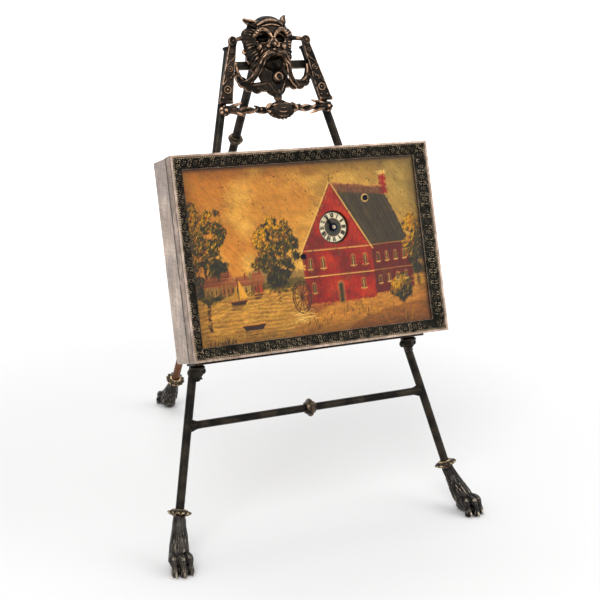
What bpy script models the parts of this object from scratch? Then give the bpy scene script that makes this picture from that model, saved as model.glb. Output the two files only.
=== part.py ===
"""Easel picture clock: a framed picture with a clock dial in it, on a folding easel with paw feet.

Blender 4.5, metres, +Z up, the picture facing -Y. The origin is on the table, under the middle of
the object. Everything in the front frame and the clock is built upright and square, in the plane
of the easel's front legs, and the empty "front_plane" leans it back.
"""

import math

import bmesh
import bpy
from mathutils import Matrix, Vector

MM = 0.001

# Clearances, and sides of round pieces
FIT = 0.3 * MM
RUNNING = 0.12 * MM
OVERRUN = 1.0 * MM
SINK = 0.4 * MM
ROD_SIDES = 16
BOSS_SIDES = 20
PIVOT_SIDES = 10
DRUM_SIDES = 32

# The easel as a whole
LEAN_DEG = 16.84
FOOT_HALF_SPREAD = 86.9 * MM
TOP_HALF_SPREAD = 22.9 * MM
LEGS_ABOVE_CASE = 58.3 * MM
LEG_BOW = 1.2 * MM
LEG_RADIUS = 2.3 * MM
LEG_BUTTON_RADIUS = 3.0 * MM
LEG_STATIONS = 8
DEPTH_MIDDLE = 112.7 * MM

# Feet
COLLAR_HEIGHT = 25.6 * MM
COLLAR_RADIUS = 6.5 * MM
COLLAR_NECK_RADIUS = 3.6 * MM
COLLAR_RISE = 2.2 * MM
COLLAR_DROP = 1.6 * MM
COLLAR_RIM = 1.0 * MM
PAW_LENGTH = 10.4 * MM
PAW_WIDTH = 10.8 * MM
PAW_HEIGHT = 11.0 * MM
FRONT_SOLE_AHEAD = 5.6 * MM
REAR_SOLE_BEYOND = 0.0 * MM
FRONT_TOE_OUT_DEG = 6.0
FOOT_GRAIN = 0.6 * MM
FOOT_KEPT_SHARE = 0.075

# Stretcher
STRETCHER_HEIGHT = 69.0 * MM
STRETCHER_RADIUS = 2.1 * MM
KNOP_RADIUS = 4.9 * MM
KNOP_HALF_WIDTH = 2.8 * MM
KNOP_CREST_HALF_WIDTH = 0.6 * MM

# Clock case
CASE_WIDTH = 150.0 * MM
CASE_HEIGHT = 104.6 * MM
CASE_BOTTOM = 101.6 * MM
CASE_SHIFT = 1.1 * MM
CASE_WALL = 1.2 * MM
CASE_BACK_WALL = 1.0 * MM
CASE_EDGE_ROUND = 0.7 * MM

# Front bezel
BEZEL_DEPTH = 7.0 * MM
BEZEL_RIM = 1.0 * MM
BEZEL_STEP_WIDTH = 0.4 * MM
BEZEL_STEP_DEPTH = 0.7 * MM
BEZEL_MOULDING_WIDTH = 5.6 * MM
BEZEL_MOULDING_DEPTH = 3.2 * MM
BEZEL_LIP = 0.6 * MM
BEZEL_SKIRT_WALL = 1.4 * MM

# Picture panel and dial
PANEL_THICKNESS = 1.2 * MM
PANEL_LAP = 1.5 * MM
DIAL_ACROSS_SHARE = 0.098
DIAL_UP_SHARE = 0.5937
DIAL_OPENING_RADIUS = 8.9 * MM
DIAL_RADIUS = 10.2 * MM
DIAL_THICKNESS = 0.8 * MM
DIAL_SIDES = 36

# Ledge and its brackets
LEDGE_PAST_LEGS = 5.0 * MM
LEDGE_DEPTH = 11.0 * MM
LEDGE_THICKNESS = 1.3 * MM
BRACKET_WIDTH = 10.0 * MM
BRACKET_HEIGHT = 8.5 * MM
BRACKET_DEPTH = 7.0 * MM

# Crest, its middle measured from the tops of the legs
MASK_WIDTH_SHARE = 0.6987
MASK_HEIGHT = 46.0 * MM
MASK_DEPTH = 11.0 * MM
MASK_ABOVE_LEGS = 2.5 * MM
PANEL_CREST_TOP_WIDTH = 3.0 * MM
PANEL_CREST_BOTTOM_WIDTH = 6.0 * MM
PANEL_CREST_THICKNESS = 1.7 * MM
PANEL_CREST_INSET = 0.4 * MM
VOLUTE_RADIUS = 2.7 * MM
VOLUTE_RISE = 2.6 * MM
VOLUTE_DEPTH = 3.2 * MM
VINE_DROP_SHARE = 0.774
VINE_BELOW_PANELS = 4.0 * MM
VINE_INSET = 0.97 * MM
VINE_RADIUS = 1.5 * MM
VINE_WAVE = 1.0 * MM
VINE_TURNS = 3
VINE_STEPS = 24
ROSETTE_RADIUS = 3.1 * MM
SHELL_WIDTH = 20.0 * MM
SHELL_HEIGHT = 10.5 * MM
SHELL_DEPTH = 5.0 * MM
CREST_GRAIN = 0.62 * MM
MASK_KEPT_SHARE = 0.06
VINE_KEPT_SHARE = 0.08

# Hinge of the rear leg
CROSSBAR_BELOW_MASK = 11.2 * MM
CROSSBAR_TALL = 4.4 * MM
CROSSBAR_THICKNESS = 2.0 * MM
HINGE_ABOVE_CROSSBAR = 6.1 * MM
HINGE_BEHIND = 16.5 * MM
EAR_THICKNESS = 1.6 * MM
EAR_HEIGHT = 6.0 * MM
HINGE_PIN_RADIUS = 1.2 * MM
HINGE_PIN_HEAD = 0.8 * MM
KNUCKLE_RADIUS = 3.1 * MM
KNUCKLE_WIDTH = 6.0 * MM

# Rear leg, its heights measured along the rod
REAR_LEG_DEG = 29.54
REAR_LEG_RADIUS = 2.45 * MM
REAR_COLLAR_UP = 26.4 * MM
REAR_KNOP_BELOW_HINGE = 53.7 * MM
REAR_KNOP_RADIUS = 4.4 * MM
REAR_KNOP_HALF_WIDTH = 2.2 * MM

# Movement, its depths measured forward from the inner face of its back plate
PLATE_RADIUS = 28.0 * MM
PLATE_THICKNESS = 1.0 * MM
PLATE_SIDES = 40
PLATE_GAP = 7.6 * MM
PILLAR_RADIUS = 1.6 * MM
PILLAR_INSET = 3.0 * MM
PILLAR_ANGLES_DEG = {"top_pillar": 90.0, "left_pillar": 205.0, "right_pillar": 325.0}
POST_RADIUS = 2.0 * MM
SCREW_ACROSS_SHARE = 0.732
SCREW_UP_SHARE = 0.507
SCREW_HEAD_RADIUS = 1.5 * MM
SCREW_HEAD_THICKNESS = 0.7 * MM
SCREW_SHANK_RADIUS = 0.7 * MM
SCREW_SHANK_LENGTH = 4.0 * MM
SCREW_SLOT_WIDTH = 0.35 * MM
SCREW_SLOT_DEPTH = 0.3 * MM
SCREW_SIDES = 16

# Wheels and arbors
ARBOR_RADIUS = 0.6 * MM
TOOTH_ADDENDUM_SHARE = 0.8
TOOTH_DEDENDUM_SHARE = 1.05
WHEEL_THICKNESS = 0.6 * MM
BARREL_MODULE = 0.4 * MM
BARREL_TEETH = 56
BARREL_DEG = 145.0
BARREL_AT = 0.8 * MM
BARREL_TOOTHED = 1.2 * MM
BARREL_DEPTH = 4.1 * MM
BARREL_DRUM_RADIUS = 10.3 * MM
BARREL_WALL = 0.6 * MM
BARREL_COVER_THICKNESS = 0.5 * MM
BARREL_ARBOR_RADIUS = 0.8 * MM
BARREL_CORE_RADIUS = 2.2 * MM
MAINSPRING_TURNS = 3
MAINSPRING_THICKNESS = 0.35 * MM
COIL_STEPS_PER_TURN = 12
SAW_FACE_SHARE = 0.12
CENTRE_PINION_TEETH = 10
CENTRE_PINION_AT = 0.4 * MM
CENTRE_PINION_LENGTH = 1.8 * MM
CENTRE_MODULE = 0.35 * MM
CENTRE_TEETH = 50
CENTRE_WHEEL_AT = 6.1 * MM
THIRD_DEG = -60.0
THIRD_PINION_TEETH = 8
THIRD_PINION_AT = 5.5 * MM
THIRD_PINION_LENGTH = 1.6 * MM
THIRD_MODULE = 0.3 * MM
THIRD_TEETH = 48
THIRD_WHEEL_AT = 2.5 * MM
ESCAPE_DEG = 25.0
ESCAPE_PINION_TEETH = 8
ESCAPE_PINION_AT = 2.0 * MM
ESCAPE_PINION_LENGTH = 1.6 * MM
ESCAPE_TEETH = 15
ESCAPE_RADIUS = 3.7 * MM
ESCAPE_ROOT_RADIUS = 2.7 * MM
ESCAPE_AT = 4.5 * MM
LEVER_FROM_ESCAPE = 5.6 * MM
LEVER_ARM = 3.3 * MM
LEVER_FORK = 4.6 * MM
LEVER_BODY_WIDTH = 1.0 * MM
LEVER_PALLET_WIDTH = 0.7 * MM
BALANCE_ACROSS = 15.0 * MM
BALANCE_UP = 8.5 * MM
BALANCE_RADIUS = 6.0 * MM
BALANCE_RIM = 0.9 * MM
BALANCE_SPOKE = 0.8 * MM
BALANCE_AT = 6.1 * MM
ROLLER_RADIUS = 1.3 * MM
ROLLER_AT = 5.3 * MM
HAIRSPRING_AT = 2.5 * MM
HAIRSPRING_RADIUS = 3.4 * MM
HAIRSPRING_TURNS = 4
HAIRSPRING_WIRE = 0.14 * MM
BALANCE_COLLET_RADIUS = 1.0 * MM

# Motion work and hands
MOTION_MODULE = 0.25 * MM
CANNON_TEETH = 10
MINUTE_WHEEL_TEETH = 30
MINUTE_PINION_TEETH = 8
HOUR_WHEEL_TEETH = 32
MOTION_DEG = 200.0
HOUR_WHEEL_STEP = 1.0 * MM
MOTION_ROOM = 2.5 * MM
CANNON_RADIUS = 1.0 * MM
HOUR_PIPE_RADIUS = 1.5 * MM
HAND_THICKNESS = 0.3 * MM
HOUR_HAND_LENGTH = 5.2 * MM
HOUR_HAND_HUB = 2.3 * MM
HOUR_HAND_WIDTH = 1.0 * MM
MINUTE_HAND_LENGTH = 8.0 * MM
MINUTE_HAND_HUB = 1.8 * MM
MINUTE_HAND_WIDTH = 0.8 * MM
HAND_GAP = 0.3 * MM
HAND_STEP = 0.4 * MM
ARBOR_PAST_HAND = 0.5 * MM
HAND_POINT_WIDTH = 0.25 * MM
HAND_BELLY_SHARE = 0.55
HAND_HUB_SIDES = 16
SHOWN_MINUTES = 54
SHOWN_HOUR = 10

# Winding and hand setting, reached through the rear cover
RATCHET_RADIUS = 3.6 * MM
RATCHET_ROOT_RADIUS = 2.9 * MM
RATCHET_TEETH = 18
RATCHET_THICKNESS = 0.6 * MM
CLICK_FROM_RATCHET = 7.0 * MM
CLICK_DEG = 160.0
CLICK_HEEL_RADIUS = 1.1 * MM
CLICK_POINT_WIDTH = 0.5 * MM
KEY_HUB_RADIUS = 2.0 * MM
KEY_ROOM = 0.5 * MM
KEY_LENGTH = 3.4 * MM
KEY_WING_SPAN = 6.3 * MM
KEY_WING_THICKNESS = 1.0 * MM
SET_KNOB_ROOM = 1.8 * MM
SET_KNOB_LENGTH = 2.4 * MM
SET_KNOB_RADIUS = 3.2 * MM
SET_KNOB_TEETH = 16
SET_KNOB_GROOVE = 0.3 * MM

# Rear cover, its edges measured from the dial's axis
COVER_LEFT_OF_DIAL = 31.7 * MM
COVER_RIGHT_OF_DIAL = 20.3 * MM
COVER_BELOW_DIAL = 24.1 * MM
COVER_ABOVE_DIAL = 25.9 * MM
COVER_KNUCKLE_RADIUS = 1.1 * MM
COVER_HINGE_INSET = 0.9 * MM
COVER_HINGE_BEHIND = 0.8 * MM
COVER_LUG_LENGTH = 3.0 * MM
COVER_PIN_RADIUS = 0.45 * MM
COVER_KNOB_RADIUS = 1.8 * MM
COVER_KNOB_STEM_RADIUS = 0.9 * MM
COVER_KNOB_LENGTH = 2.0 * MM
COVER_KNOB_FROM_EDGE = 4.0 * MM

# Worked out from the sizes above
LEAN = math.radians(LEAN_DEG)
REAR_LEAN = math.radians(REAR_LEG_DEG)
LEG_TOP = CASE_BOTTOM + CASE_HEIGHT + LEGS_ABOVE_CASE
MASK_WIDTH = MASK_WIDTH_SHARE * 2 * TOP_HALF_SPREAD
MASK_MIDDLE = LEG_TOP + MASK_ABOVE_LEGS
VINE_HEIGHT = MASK_MIDDLE - VINE_DROP_SHARE * MASK_HEIGHT
PANEL_CREST_TOP = MASK_MIDDLE
PANEL_CREST_BOTTOM = VINE_HEIGHT + VINE_BELOW_PANELS
CROSSBAR_HEIGHT = MASK_MIDDLE - CROSSBAR_BELOW_MASK
HINGE_HEIGHT = CROSSBAR_HEIGHT + HINGE_ABOVE_CROSSBAR
HINGE_BACK = -HINGE_BEHIND
REAR_LEG_LENGTH = (HINGE_HEIGHT * math.cos(LEAN) - HINGE_BEHIND * math.sin(LEAN)) / math.cos(REAR_LEAN)
BACK_PLATE_AT = -PLATE_THICKNESS
FRONT_PLATE_AT = PLATE_GAP
FRONT_PLATE_FACE = FRONT_PLATE_AT + PLATE_THICKNESS
PILLAR_CIRCLE = PLATE_RADIUS - PILLAR_INSET
RATCHET_AT = BACK_PLATE_AT - FIT - RATCHET_THICKNESS
KEY_AT = RATCHET_AT - FIT - KEY_LENGTH
SET_KNOB_AT = BACK_PLATE_AT - SET_KNOB_ROOM - SET_KNOB_LENGTH
CANNON_AT = FRONT_PLATE_FACE + FIT
HOUR_WHEEL_AT = CANNON_AT + HOUR_WHEEL_STEP
DIAL_FRONT = FRONT_PLATE_FACE + MOTION_ROOM + DIAL_THICKNESS
HOUR_HAND_AT = DIAL_FRONT + HAND_GAP
MINUTE_HAND_AT = HOUR_HAND_AT + HAND_THICKNESS + HAND_STEP
ARBOR_FRONT = MINUTE_HAND_AT + HAND_THICKNESS + ARBOR_PAST_HAND
PANEL_BACK = DIAL_FRONT + FIT
PANEL_FRONT = PANEL_BACK + PANEL_THICKNESS
DIAL_ACROSS = DIAL_ACROSS_SHARE * CASE_WIDTH
DIAL_UP = DIAL_UP_SHARE * CASE_HEIGHT
DIAL_OUT = CASE_BACK_WALL + KEY_ROOM - KEY_AT
BEZEL_LIP_FRONT = DIAL_OUT + PANEL_FRONT + FIT + BEZEL_LIP
BEZEL_FRONT = BEZEL_LIP_FRONT + BEZEL_MOULDING_DEPTH + BEZEL_STEP_DEPTH
BEZEL_BACK = BEZEL_FRONT - BEZEL_DEPTH
BEZEL_MARGIN = BEZEL_RIM + BEZEL_STEP_WIDTH + BEZEL_MOULDING_WIDTH
CASE_BODY_DEPTH = BEZEL_BACK - FIT
CASE_BACK = LEG_RADIUS + FIT
COVER_LEFT = DIAL_ACROSS - COVER_LEFT_OF_DIAL
COVER_RIGHT = DIAL_ACROSS + COVER_RIGHT_OF_DIAL
COVER_LOW = DIAL_UP - COVER_BELOW_DIAL
COVER_HIGH = DIAL_UP + COVER_ABOVE_DIAL
BARREL_LINE = math.radians(BARREL_DEG)
THIRD_LINE = math.radians(THIRD_DEG)
ESCAPE_LINE = math.radians(ESCAPE_DEG)
MOTION_LINE = math.radians(MOTION_DEG)
CLICK_LINE = math.radians(CLICK_DEG)
CREST_BACK = LEG_RADIUS + FIT
MINUTE_TURN = -math.radians(SHOWN_MINUTES * 6)
HOUR_TURN = -math.radians((SHOWN_HOUR + SHOWN_MINUTES / 60) * 30)

# Lumps of the mask: across, up, out and the three half sizes, as shares of the mask's
# width, height and depth. Rows with a side are mirrored.
MASK_LUMP_SHARES = (
    (0.0, 0.0, 0.10, 0.49, 0.30, 0.50),
    (0.0, 0.17, 0.16, 0.37, 0.165, 0.42),
    (0.0, -0.13, 0.16, 0.35, 0.24, 0.42),
    (0.0, -0.38, 0.46, 0.095, 0.066, 0.30),
    (0.0, 0.03, 0.58, 0.065, 0.085, 0.26),
    (0.0, -0.04, 0.66, 0.11, 0.05, 0.24),
)
MASK_PAIR_SHARES = (
    (0.17, 0.125, 0.56, 0.145, 0.042, 0.22),
    (0.24, -0.04, 0.48, 0.12, 0.075, 0.24),
    (0.41, 0.27, 0.12, 0.10, 0.045, 0.22),
    (0.47, 0.29, 0.10, 0.055, 0.035, 0.18),
)
# Strands of the mask: points across, up and out, and a radius as a share of the width.
BEARD_SHARES = (
    (0, -0.28, 0.10, 0.26), (0, -0.42, 0.10, 0.19), (0, -0.52, 0.08, 0.10), (0, -0.60, 0.06, 0.065),
)
MOUSTACHE_SHARES = ((0.05, -0.12, 0.66, 0.055), (0.19, -0.17, 0.60, 0.062), (0.27, -0.30, 0.44, 0.055),
                    (0.36, -0.45, 0.22, 0.035))
ARM_SHARES = ((0.42, 0.03, 0.10, 0.05), (0.553, 0.03, 0.10, 0.045))
SWAG_SHARES = ((0.20, -0.54, 0.12, 0.055), (0.36, -0.52, 0.12, 0.065), (0.52, -0.43, 0.12, 0.06),
               (0.60, -0.33, 0.12, 0.05), (0.63, -0.24, 0.12, 0.042))
# Lumps of a paw: ahead, sideways, up and the three half sizes, as shares of the paw's
# length, width and height from the middle of its sole.
PAW_LUMP_SHARES = ((0.05, 0.0, 0.42, 0.56, 0.46, 0.42), (-0.12, 0.0, 0.24, 0.50, 0.40, 0.26))
# The shank: how far down from the ankle to the paw's middle, and a radius as a share of the width.
SHANK_SHARES = ((0.0, 0.30), (0.28, 0.37), (0.58, 0.50), (1.0, 0.47))
TOE_SHARES = ((0.20, 0.62, 0.19), (0.66, 0.52, 0.215), (1.00, 0.24, 0.20), (1.06, 0.10, 0.15))
TOE_SIDE_SHARES = (-0.36, -0.13, 0.13, 0.36)
TOE_BACK_SHARES = (0.14, 0.0, 0.0, 0.14)
# Lumps of a ledge bracket: across, down, out and the three half sizes.
BRACKET_LUMP_SHARES = ((0, 0.14, 0.25, 0.42, 0.22, 0.75), (0, 0.50, 0.12, 0.34, 0.34, 0.55),
                       (-0.42, 0.42, 0.12, 0.12, 0.14, 0.4), (0.42, 0.36, 0.12, 0.12, 0.14, 0.4),
                       (0, 0.82, 0.06, 0.2, 0.18, 0.4))

SIDES = (("left", -1), ("right", 1))

COLOURS = {
    "bronze": ((0.060, 0.045, 0.034), 0.45, 0.9),
    "copper_bronze": ((0.20, 0.085, 0.042), 0.45, 0.9),
    "collar_bronze": ((0.23, 0.16, 0.09), 0.40, 0.9),
    "case_metal": ((0.46, 0.40, 0.37), 0.42, 0.9),
    "bezel_metal": ((0.12, 0.12, 0.09), 0.45, 0.85),
    "picture": ((0.60, 0.38, 0.16), 0.55, 0.0),
    "dial": ((0.74, 0.68, 0.52), 0.50, 0.0),
    "brass": ((0.62, 0.46, 0.20), 0.35, 0.9),
    "blued_steel": ((0.03, 0.04, 0.09), 0.30, 0.9),
    "steel": ((0.45, 0.45, 0.45), 0.32, 0.9),
}


# Scene, materials and small helpers


def clear_scene():
    for obj in list(bpy.data.objects):
        bpy.data.objects.remove(obj, do_unlink=True)


def new_collection(name):
    collection = bpy.data.collections.new(name)
    bpy.context.scene.collection.children.link(collection)
    return collection


def material(name):
    """The Principled material of one finish, made the first time it is asked for."""
    made = bpy.data.materials.get(name)
    if made:
        return made
    colour, roughness, metallic = COLOURS[name]
    made = bpy.data.materials.new(name)
    made.use_nodes = True
    shader = made.node_tree.nodes["Principled BSDF"]
    shader.inputs["Base Color"].default_value = (*colour, 1.0)
    shader.inputs["Roughness"].default_value = roughness
    shader.inputs["Metallic"].default_value = metallic
    return made


def new_empty(name, parent=None, location=(0, 0, 0), rotation=(0, 0, 0)):
    empty = bpy.data.objects.new(name, None)
    parts().objects.link(empty)
    empty.parent = parent
    empty.location = location
    empty.rotation_euler = rotation
    return empty


def parts():
    return bpy.data.collections["easel_picture_clock"]


def cutters():
    return bpy.data.collections["cutters"]


def place(name, form, parent, finish, smooth_deg=35.0):
    """Turns a bmesh into an object of the clock."""
    mesh = bpy.data.meshes.new(name)
    bmesh.ops.recalc_face_normals(form, faces=form.faces)
    form.to_mesh(mesh)
    form.free()
    return place_mesh(name, mesh, parent, finish, smooth_deg)


def place_mesh(name, mesh, parent, finish, smooth_deg=35.0):
    mesh.shade_smooth()
    mesh.set_sharp_from_angle(angle=math.radians(smooth_deg))
    mesh.materials.clear()
    mesh.materials.append(material(finish))
    obj = bpy.data.objects.new(name, mesh)
    parts().objects.link(obj)
    obj.parent = parent
    return obj


def helper(obj):
    """Makes an object a cutter or another hidden helper."""
    parts().objects.unlink(obj)
    cutters().objects.link(obj)
    obj.hide_render = True
    obj.display_type = "WIRE"
    return obj


def boolean(obj, other, operation):
    modifier = obj.modifiers.new(f"{operation.lower()}_{other.name}", "BOOLEAN")
    modifier.operation = operation
    modifier.solver = "EXACT"
    modifier.object = helper(other)
    return obj


def cut(obj, *tools):
    for tool in tools:
        boolean(obj, tool, "DIFFERENCE")
    return obj


def join(obj, *others):
    for other in others:
        boolean(obj, other, "UNION")
    return obj


def at(across, up, out=0.0):
    """A point of the easel's front plane: across, up along the legs, and out towards the viewer."""
    return Vector((across, -out, up))


def box(name, low, high, parent, finish, edge=0.0):
    low = Vector(low)
    high = Vector(high)
    size = high - low
    form = bmesh.new()
    bmesh.ops.create_cube(
        form, size=1.0, matrix=Matrix.Translation((low + high) / 2) @ Matrix.Diagonal(size).to_4x4(),
    )
    obj = place(name, form, parent, finish)
    if edge:
        bevel = obj.modifiers.new("edge", "BEVEL")
        bevel.width = edge
        bevel.segments = 2
    return obj


def rod(name, start, end, radius, parent, finish, sides=ROD_SIDES):
    """A round rod between two points."""
    start = Vector(start)
    end = Vector(end)
    along = end - start
    turn = along.to_track_quat("Z", "Y").to_matrix().to_4x4()
    form = bmesh.new()
    bmesh.ops.create_cone(
        form, cap_ends=True, segments=sides, radius1=radius, radius2=radius, depth=along.length,
        matrix=Matrix.Translation((start + end) / 2) @ turn,
    )
    return place(name, form, parent, finish)


def turned(name, profile, parent, finish, origin=(0, 0, 0), axis=(0, 0, 1), sides=18):
    """A turned piece: (radius, height) down its outer side, spun round the axis through origin."""
    mesh = bpy.data.meshes.new(name)
    closed = profile[0][0] > 0
    edges = [(i, i + 1) for i in range(len(profile) - 1)]
    if closed:
        edges.append((len(profile) - 1, 0))
    mesh.from_pydata([(radius, 0, height) for radius, height in profile], edges, [])
    obj = place_mesh(name, mesh, parent, finish)
    screw = obj.modifiers.new("spin", "SCREW")
    screw.steps = sides
    screw.render_steps = sides
    screw.use_merge_vertices = True
    screw.merge_threshold = 0.01 * MM
    obj.location = origin
    obj.rotation_mode = "QUATERNION"
    obj.rotation_quaternion = Vector(axis).to_track_quat("Z", "Y")
    return obj


def bent_rod(name, points, radius, parent, finish, detail=2):
    """A round rod along a row of points, as a mesh with welded caps."""
    curve = bpy.data.curves.new(name, "CURVE")
    curve.dimensions = "3D"
    curve.bevel_depth = radius
    curve.bevel_resolution = detail
    curve.use_fill_caps = True
    spline = curve.splines.new("POLY")
    spline.points.add(len(points) - 1)
    for point, spot in zip(spline.points, points):
        point.co = (*spot, 1.0)
    return curve_to_mesh(name, curve, parent, finish)


def curve_to_mesh(name, curve, parent, finish):
    guide = bpy.data.objects.new(name + "_guide", curve)
    bpy.context.scene.collection.objects.link(guide)
    graph = bpy.context.evaluated_depsgraph_get()
    mesh = bpy.data.meshes.new_from_object(guide.evaluated_get(graph))
    bpy.data.objects.remove(guide, do_unlink=True)
    form = bmesh.new()
    form.from_mesh(mesh)
    bmesh.ops.remove_doubles(form, verts=form.verts, dist=0.001 * MM)
    return place(name, form, parent, finish)


def circle(radius, sides=PIVOT_SIDES, middle=(0, 0)):
    return [
        (
            middle[0] + radius * math.cos(2 * math.pi * i / sides),
            middle[1] + radius * math.sin(2 * math.pi * i / sides),
        )
        for i in range(sides)
    ]


def sheet(name, outlines, low, high, parent, finish):
    """A flat piece from its outline, and its holes after it, between two depths."""
    curve = bpy.data.curves.new(name, "CURVE")
    curve.dimensions = "2D"
    curve.fill_mode = "BOTH"
    curve.extrude = (high - low) / 2
    for outline in outlines:
        spline = curve.splines.new("POLY")
        spline.points.add(len(outline) - 1)
        for point, (x, y) in zip(spline.points, outline):
            point.co = (x, y, 0, 1)
        spline.use_cyclic_u = True
    obj = curve_to_mesh(name, curve, parent, finish)
    obj.data.transform(Matrix.Translation((0, 0, (low + high) / 2)))
    return obj


def polar(radius, angle):
    return Vector((radius * math.cos(angle), radius * math.sin(angle), 0))


def lump(form, middle, half_sizes, rings=10):
    matrix = Matrix.Translation(middle) @ Matrix.Diagonal(half_sizes).to_4x4()
    bmesh.ops.create_uvsphere(form, u_segments=2 * rings, v_segments=rings, radius=1.0, matrix=matrix)


def strand(form, knots, spacing_share=0.45):
    """A row of lumps along straight runs between (point, radius) knots."""
    for (start, start_radius), (end, end_radius) in zip(knots, knots[1:]):
        steps = max(1, math.ceil((end - start).length / (spacing_share * min(start_radius, end_radius))))
        for i in range(steps + 1):
            share = i / steps
            radius = start_radius + (end_radius - start_radius) * share
            lump(form, start.lerp(end, share), (radius, radius, radius), rings=6)


def cast(name, form, grain, kept_share, parent, finish):
    """A cast piece: its lumps run together by a voxel remesh, then thinned."""
    obj = place(name, form, parent, finish, smooth_deg=60.0)
    fuse = obj.modifiers.new("fuse", "REMESH")
    fuse.mode = "VOXEL"
    fuse.voxel_size = grain
    thin = obj.modifiers.new("thin", "DECIMATE")
    thin.ratio = kept_share
    return obj


# The easel's front frame


def leg_across(up):
    """How far the middle of a front leg stands from the middle of the easel."""
    share = up / LEG_TOP
    straight = FOOT_HALF_SPREAD + (TOP_HALF_SPREAD - FOOT_HALF_SPREAD) * share
    return straight + LEG_BOW * math.sin(math.pi * share)


def clear_of_legs(up):
    """How far a bar between the legs reaches from the middle, when its top is at this height."""
    return leg_across(up) - LEG_RADIUS - FIT


def leg_point(side, up):
    return at(side * leg_across(up), up)


def leg_direction(side, up):
    return (leg_point(side, up + OVERRUN) - leg_point(side, up - OVERRUN)).normalized()


def front_leg(name, side, plane):
    low = COLLAR_HEIGHT - COLLAR_DROP
    points = [leg_point(side, low + (LEG_TOP - low) * i / LEG_STATIONS) for i in range(LEG_STATIONS + 1)]
    leg = bent_rod(name, points, LEG_RADIUS, plane, "bronze")
    form = bmesh.new()
    lump(form, points[-1], (LEG_BUTTON_RADIUS, LEG_RADIUS, LEG_BUTTON_RADIUS / 2), rings=8)
    button = place(name + "_button", form, plane, "bronze")
    return join(leg, button)


def collar_profile(bore):
    """A pleated collar's section: a bell that flares to a rim and turns under."""
    return [
        (bore + RUNNING, COLLAR_RISE),
        (COLLAR_NECK_RADIUS, COLLAR_RISE),
        ((COLLAR_NECK_RADIUS + COLLAR_RADIUS) / 2, COLLAR_RIM + COLLAR_RISE / 4),
        (COLLAR_RADIUS, COLLAR_RIM / 2),
        (COLLAR_RADIUS, -COLLAR_RIM / 2),
        ((COLLAR_NECK_RADIUS + COLLAR_RADIUS) / 2, -COLLAR_RIM),
        (COLLAR_NECK_RADIUS, -COLLAR_DROP),
        (bore + RUNNING, -COLLAR_DROP),
    ]


def knop_profile(bore, radius, half_width, crest):
    return [
        (bore + RUNNING, half_width),
        (bore + RUNNING + crest, half_width),
        (radius, crest),
        (radius, -crest),
        (bore + RUNNING + crest, -half_width),
        (bore + RUNNING, -half_width),
    ]


def paw_foot(name, ankle, up, sole, forward, ground):
    """A lion's paw from the collar down to the sole: a fur-covered shank and four toes."""
    sideways = Vector((0, 0, 1)).cross(forward)
    turn = Matrix((forward, sideways, Vector((0, 0, 1)))).transposed().to_4x4()
    size = Vector((PAW_LENGTH, PAW_WIDTH, PAW_HEIGHT))

    def spot(ahead, across, rise):
        return sole + turn @ (Vector((ahead, across, rise)) * size)

    form = bmesh.new()
    for ahead, across, rise, *half_sizes in PAW_LUMP_SHARES:
        stretch = Matrix.Diagonal(Vector(half_sizes) * size).to_4x4()
        bmesh.ops.create_uvsphere(
            form, u_segments=20, v_segments=10, radius=1.0,
            matrix=Matrix.Translation(spot(ahead, across, rise)) @ turn @ stretch,
        )
    middle = spot(*PAW_LUMP_SHARES[0][:3])
    strand(form, [(ankle.lerp(middle, down), radius * PAW_WIDTH) for down, radius in SHANK_SHARES])
    for across, back in zip(TOE_SIDE_SHARES, TOE_BACK_SHARES):
        strand(
            form,
            [(spot(ahead - back, across, rise), radius * PAW_HEIGHT) for ahead, rise, radius in TOE_SHARES],
        )
    paw = cast(name, form, FOOT_GRAIN, FOOT_KEPT_SHARE, ground, "bronze")
    reach = Vector((PAW_HEIGHT, PAW_HEIGHT, 0)) * 3
    floor = box(name + "_floor", sole - reach - Vector((0, 0, PAW_HEIGHT)), sole + reach, ground, "bronze")
    above = rod(name + "_top", ankle, ankle + up * PAW_WIDTH, PAW_WIDTH, ground, "bronze")
    return cut(paw, floor, above)


def to_ground(point):
    """A point of the front plane, seen from the ground frame."""
    return Matrix.Rotation(-LEAN, 3, "X") @ point


def front_paw(name, side, plane, ground):
    ankle = to_ground(leg_point(side, COLLAR_HEIGHT - COLLAR_DROP - FIT))
    up = to_ground(leg_direction(side, COLLAR_HEIGHT))
    turn = Matrix.Rotation(side * math.radians(FRONT_TOE_OUT_DEG), 3, "Z")
    forward = turn @ Vector((0, -1, 0))
    sole = Vector((side * FOOT_HALF_SPREAD, -FRONT_SOLE_AHEAD, 0))
    return paw_foot(name, ankle, up, sole, forward, ground)


def feet(plane, ground):
    for name, side in SIDES:
        turned(
            f"{name}_leg_collar", collar_profile(LEG_RADIUS), plane, "collar_bronze",
            leg_point(side, COLLAR_HEIGHT), leg_direction(side, COLLAR_HEIGHT),
        )
        front_paw(f"{name}_paw_foot", side, plane, ground)


def stretcher(plane):
    reach = clear_of_legs(STRETCHER_HEIGHT + STRETCHER_RADIUS)
    rod(
        "stretcher_bar", at(-reach, STRETCHER_HEIGHT), at(reach, STRETCHER_HEIGHT), STRETCHER_RADIUS, plane,
        "bronze",
    )
    turned(
        "stretcher_knop",
        knop_profile(STRETCHER_RADIUS, KNOP_RADIUS, KNOP_HALF_WIDTH, KNOP_CREST_HALF_WIDTH),
        plane, "collar_bronze", at(0, STRETCHER_HEIGHT), (1, 0, 0),
    )


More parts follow.
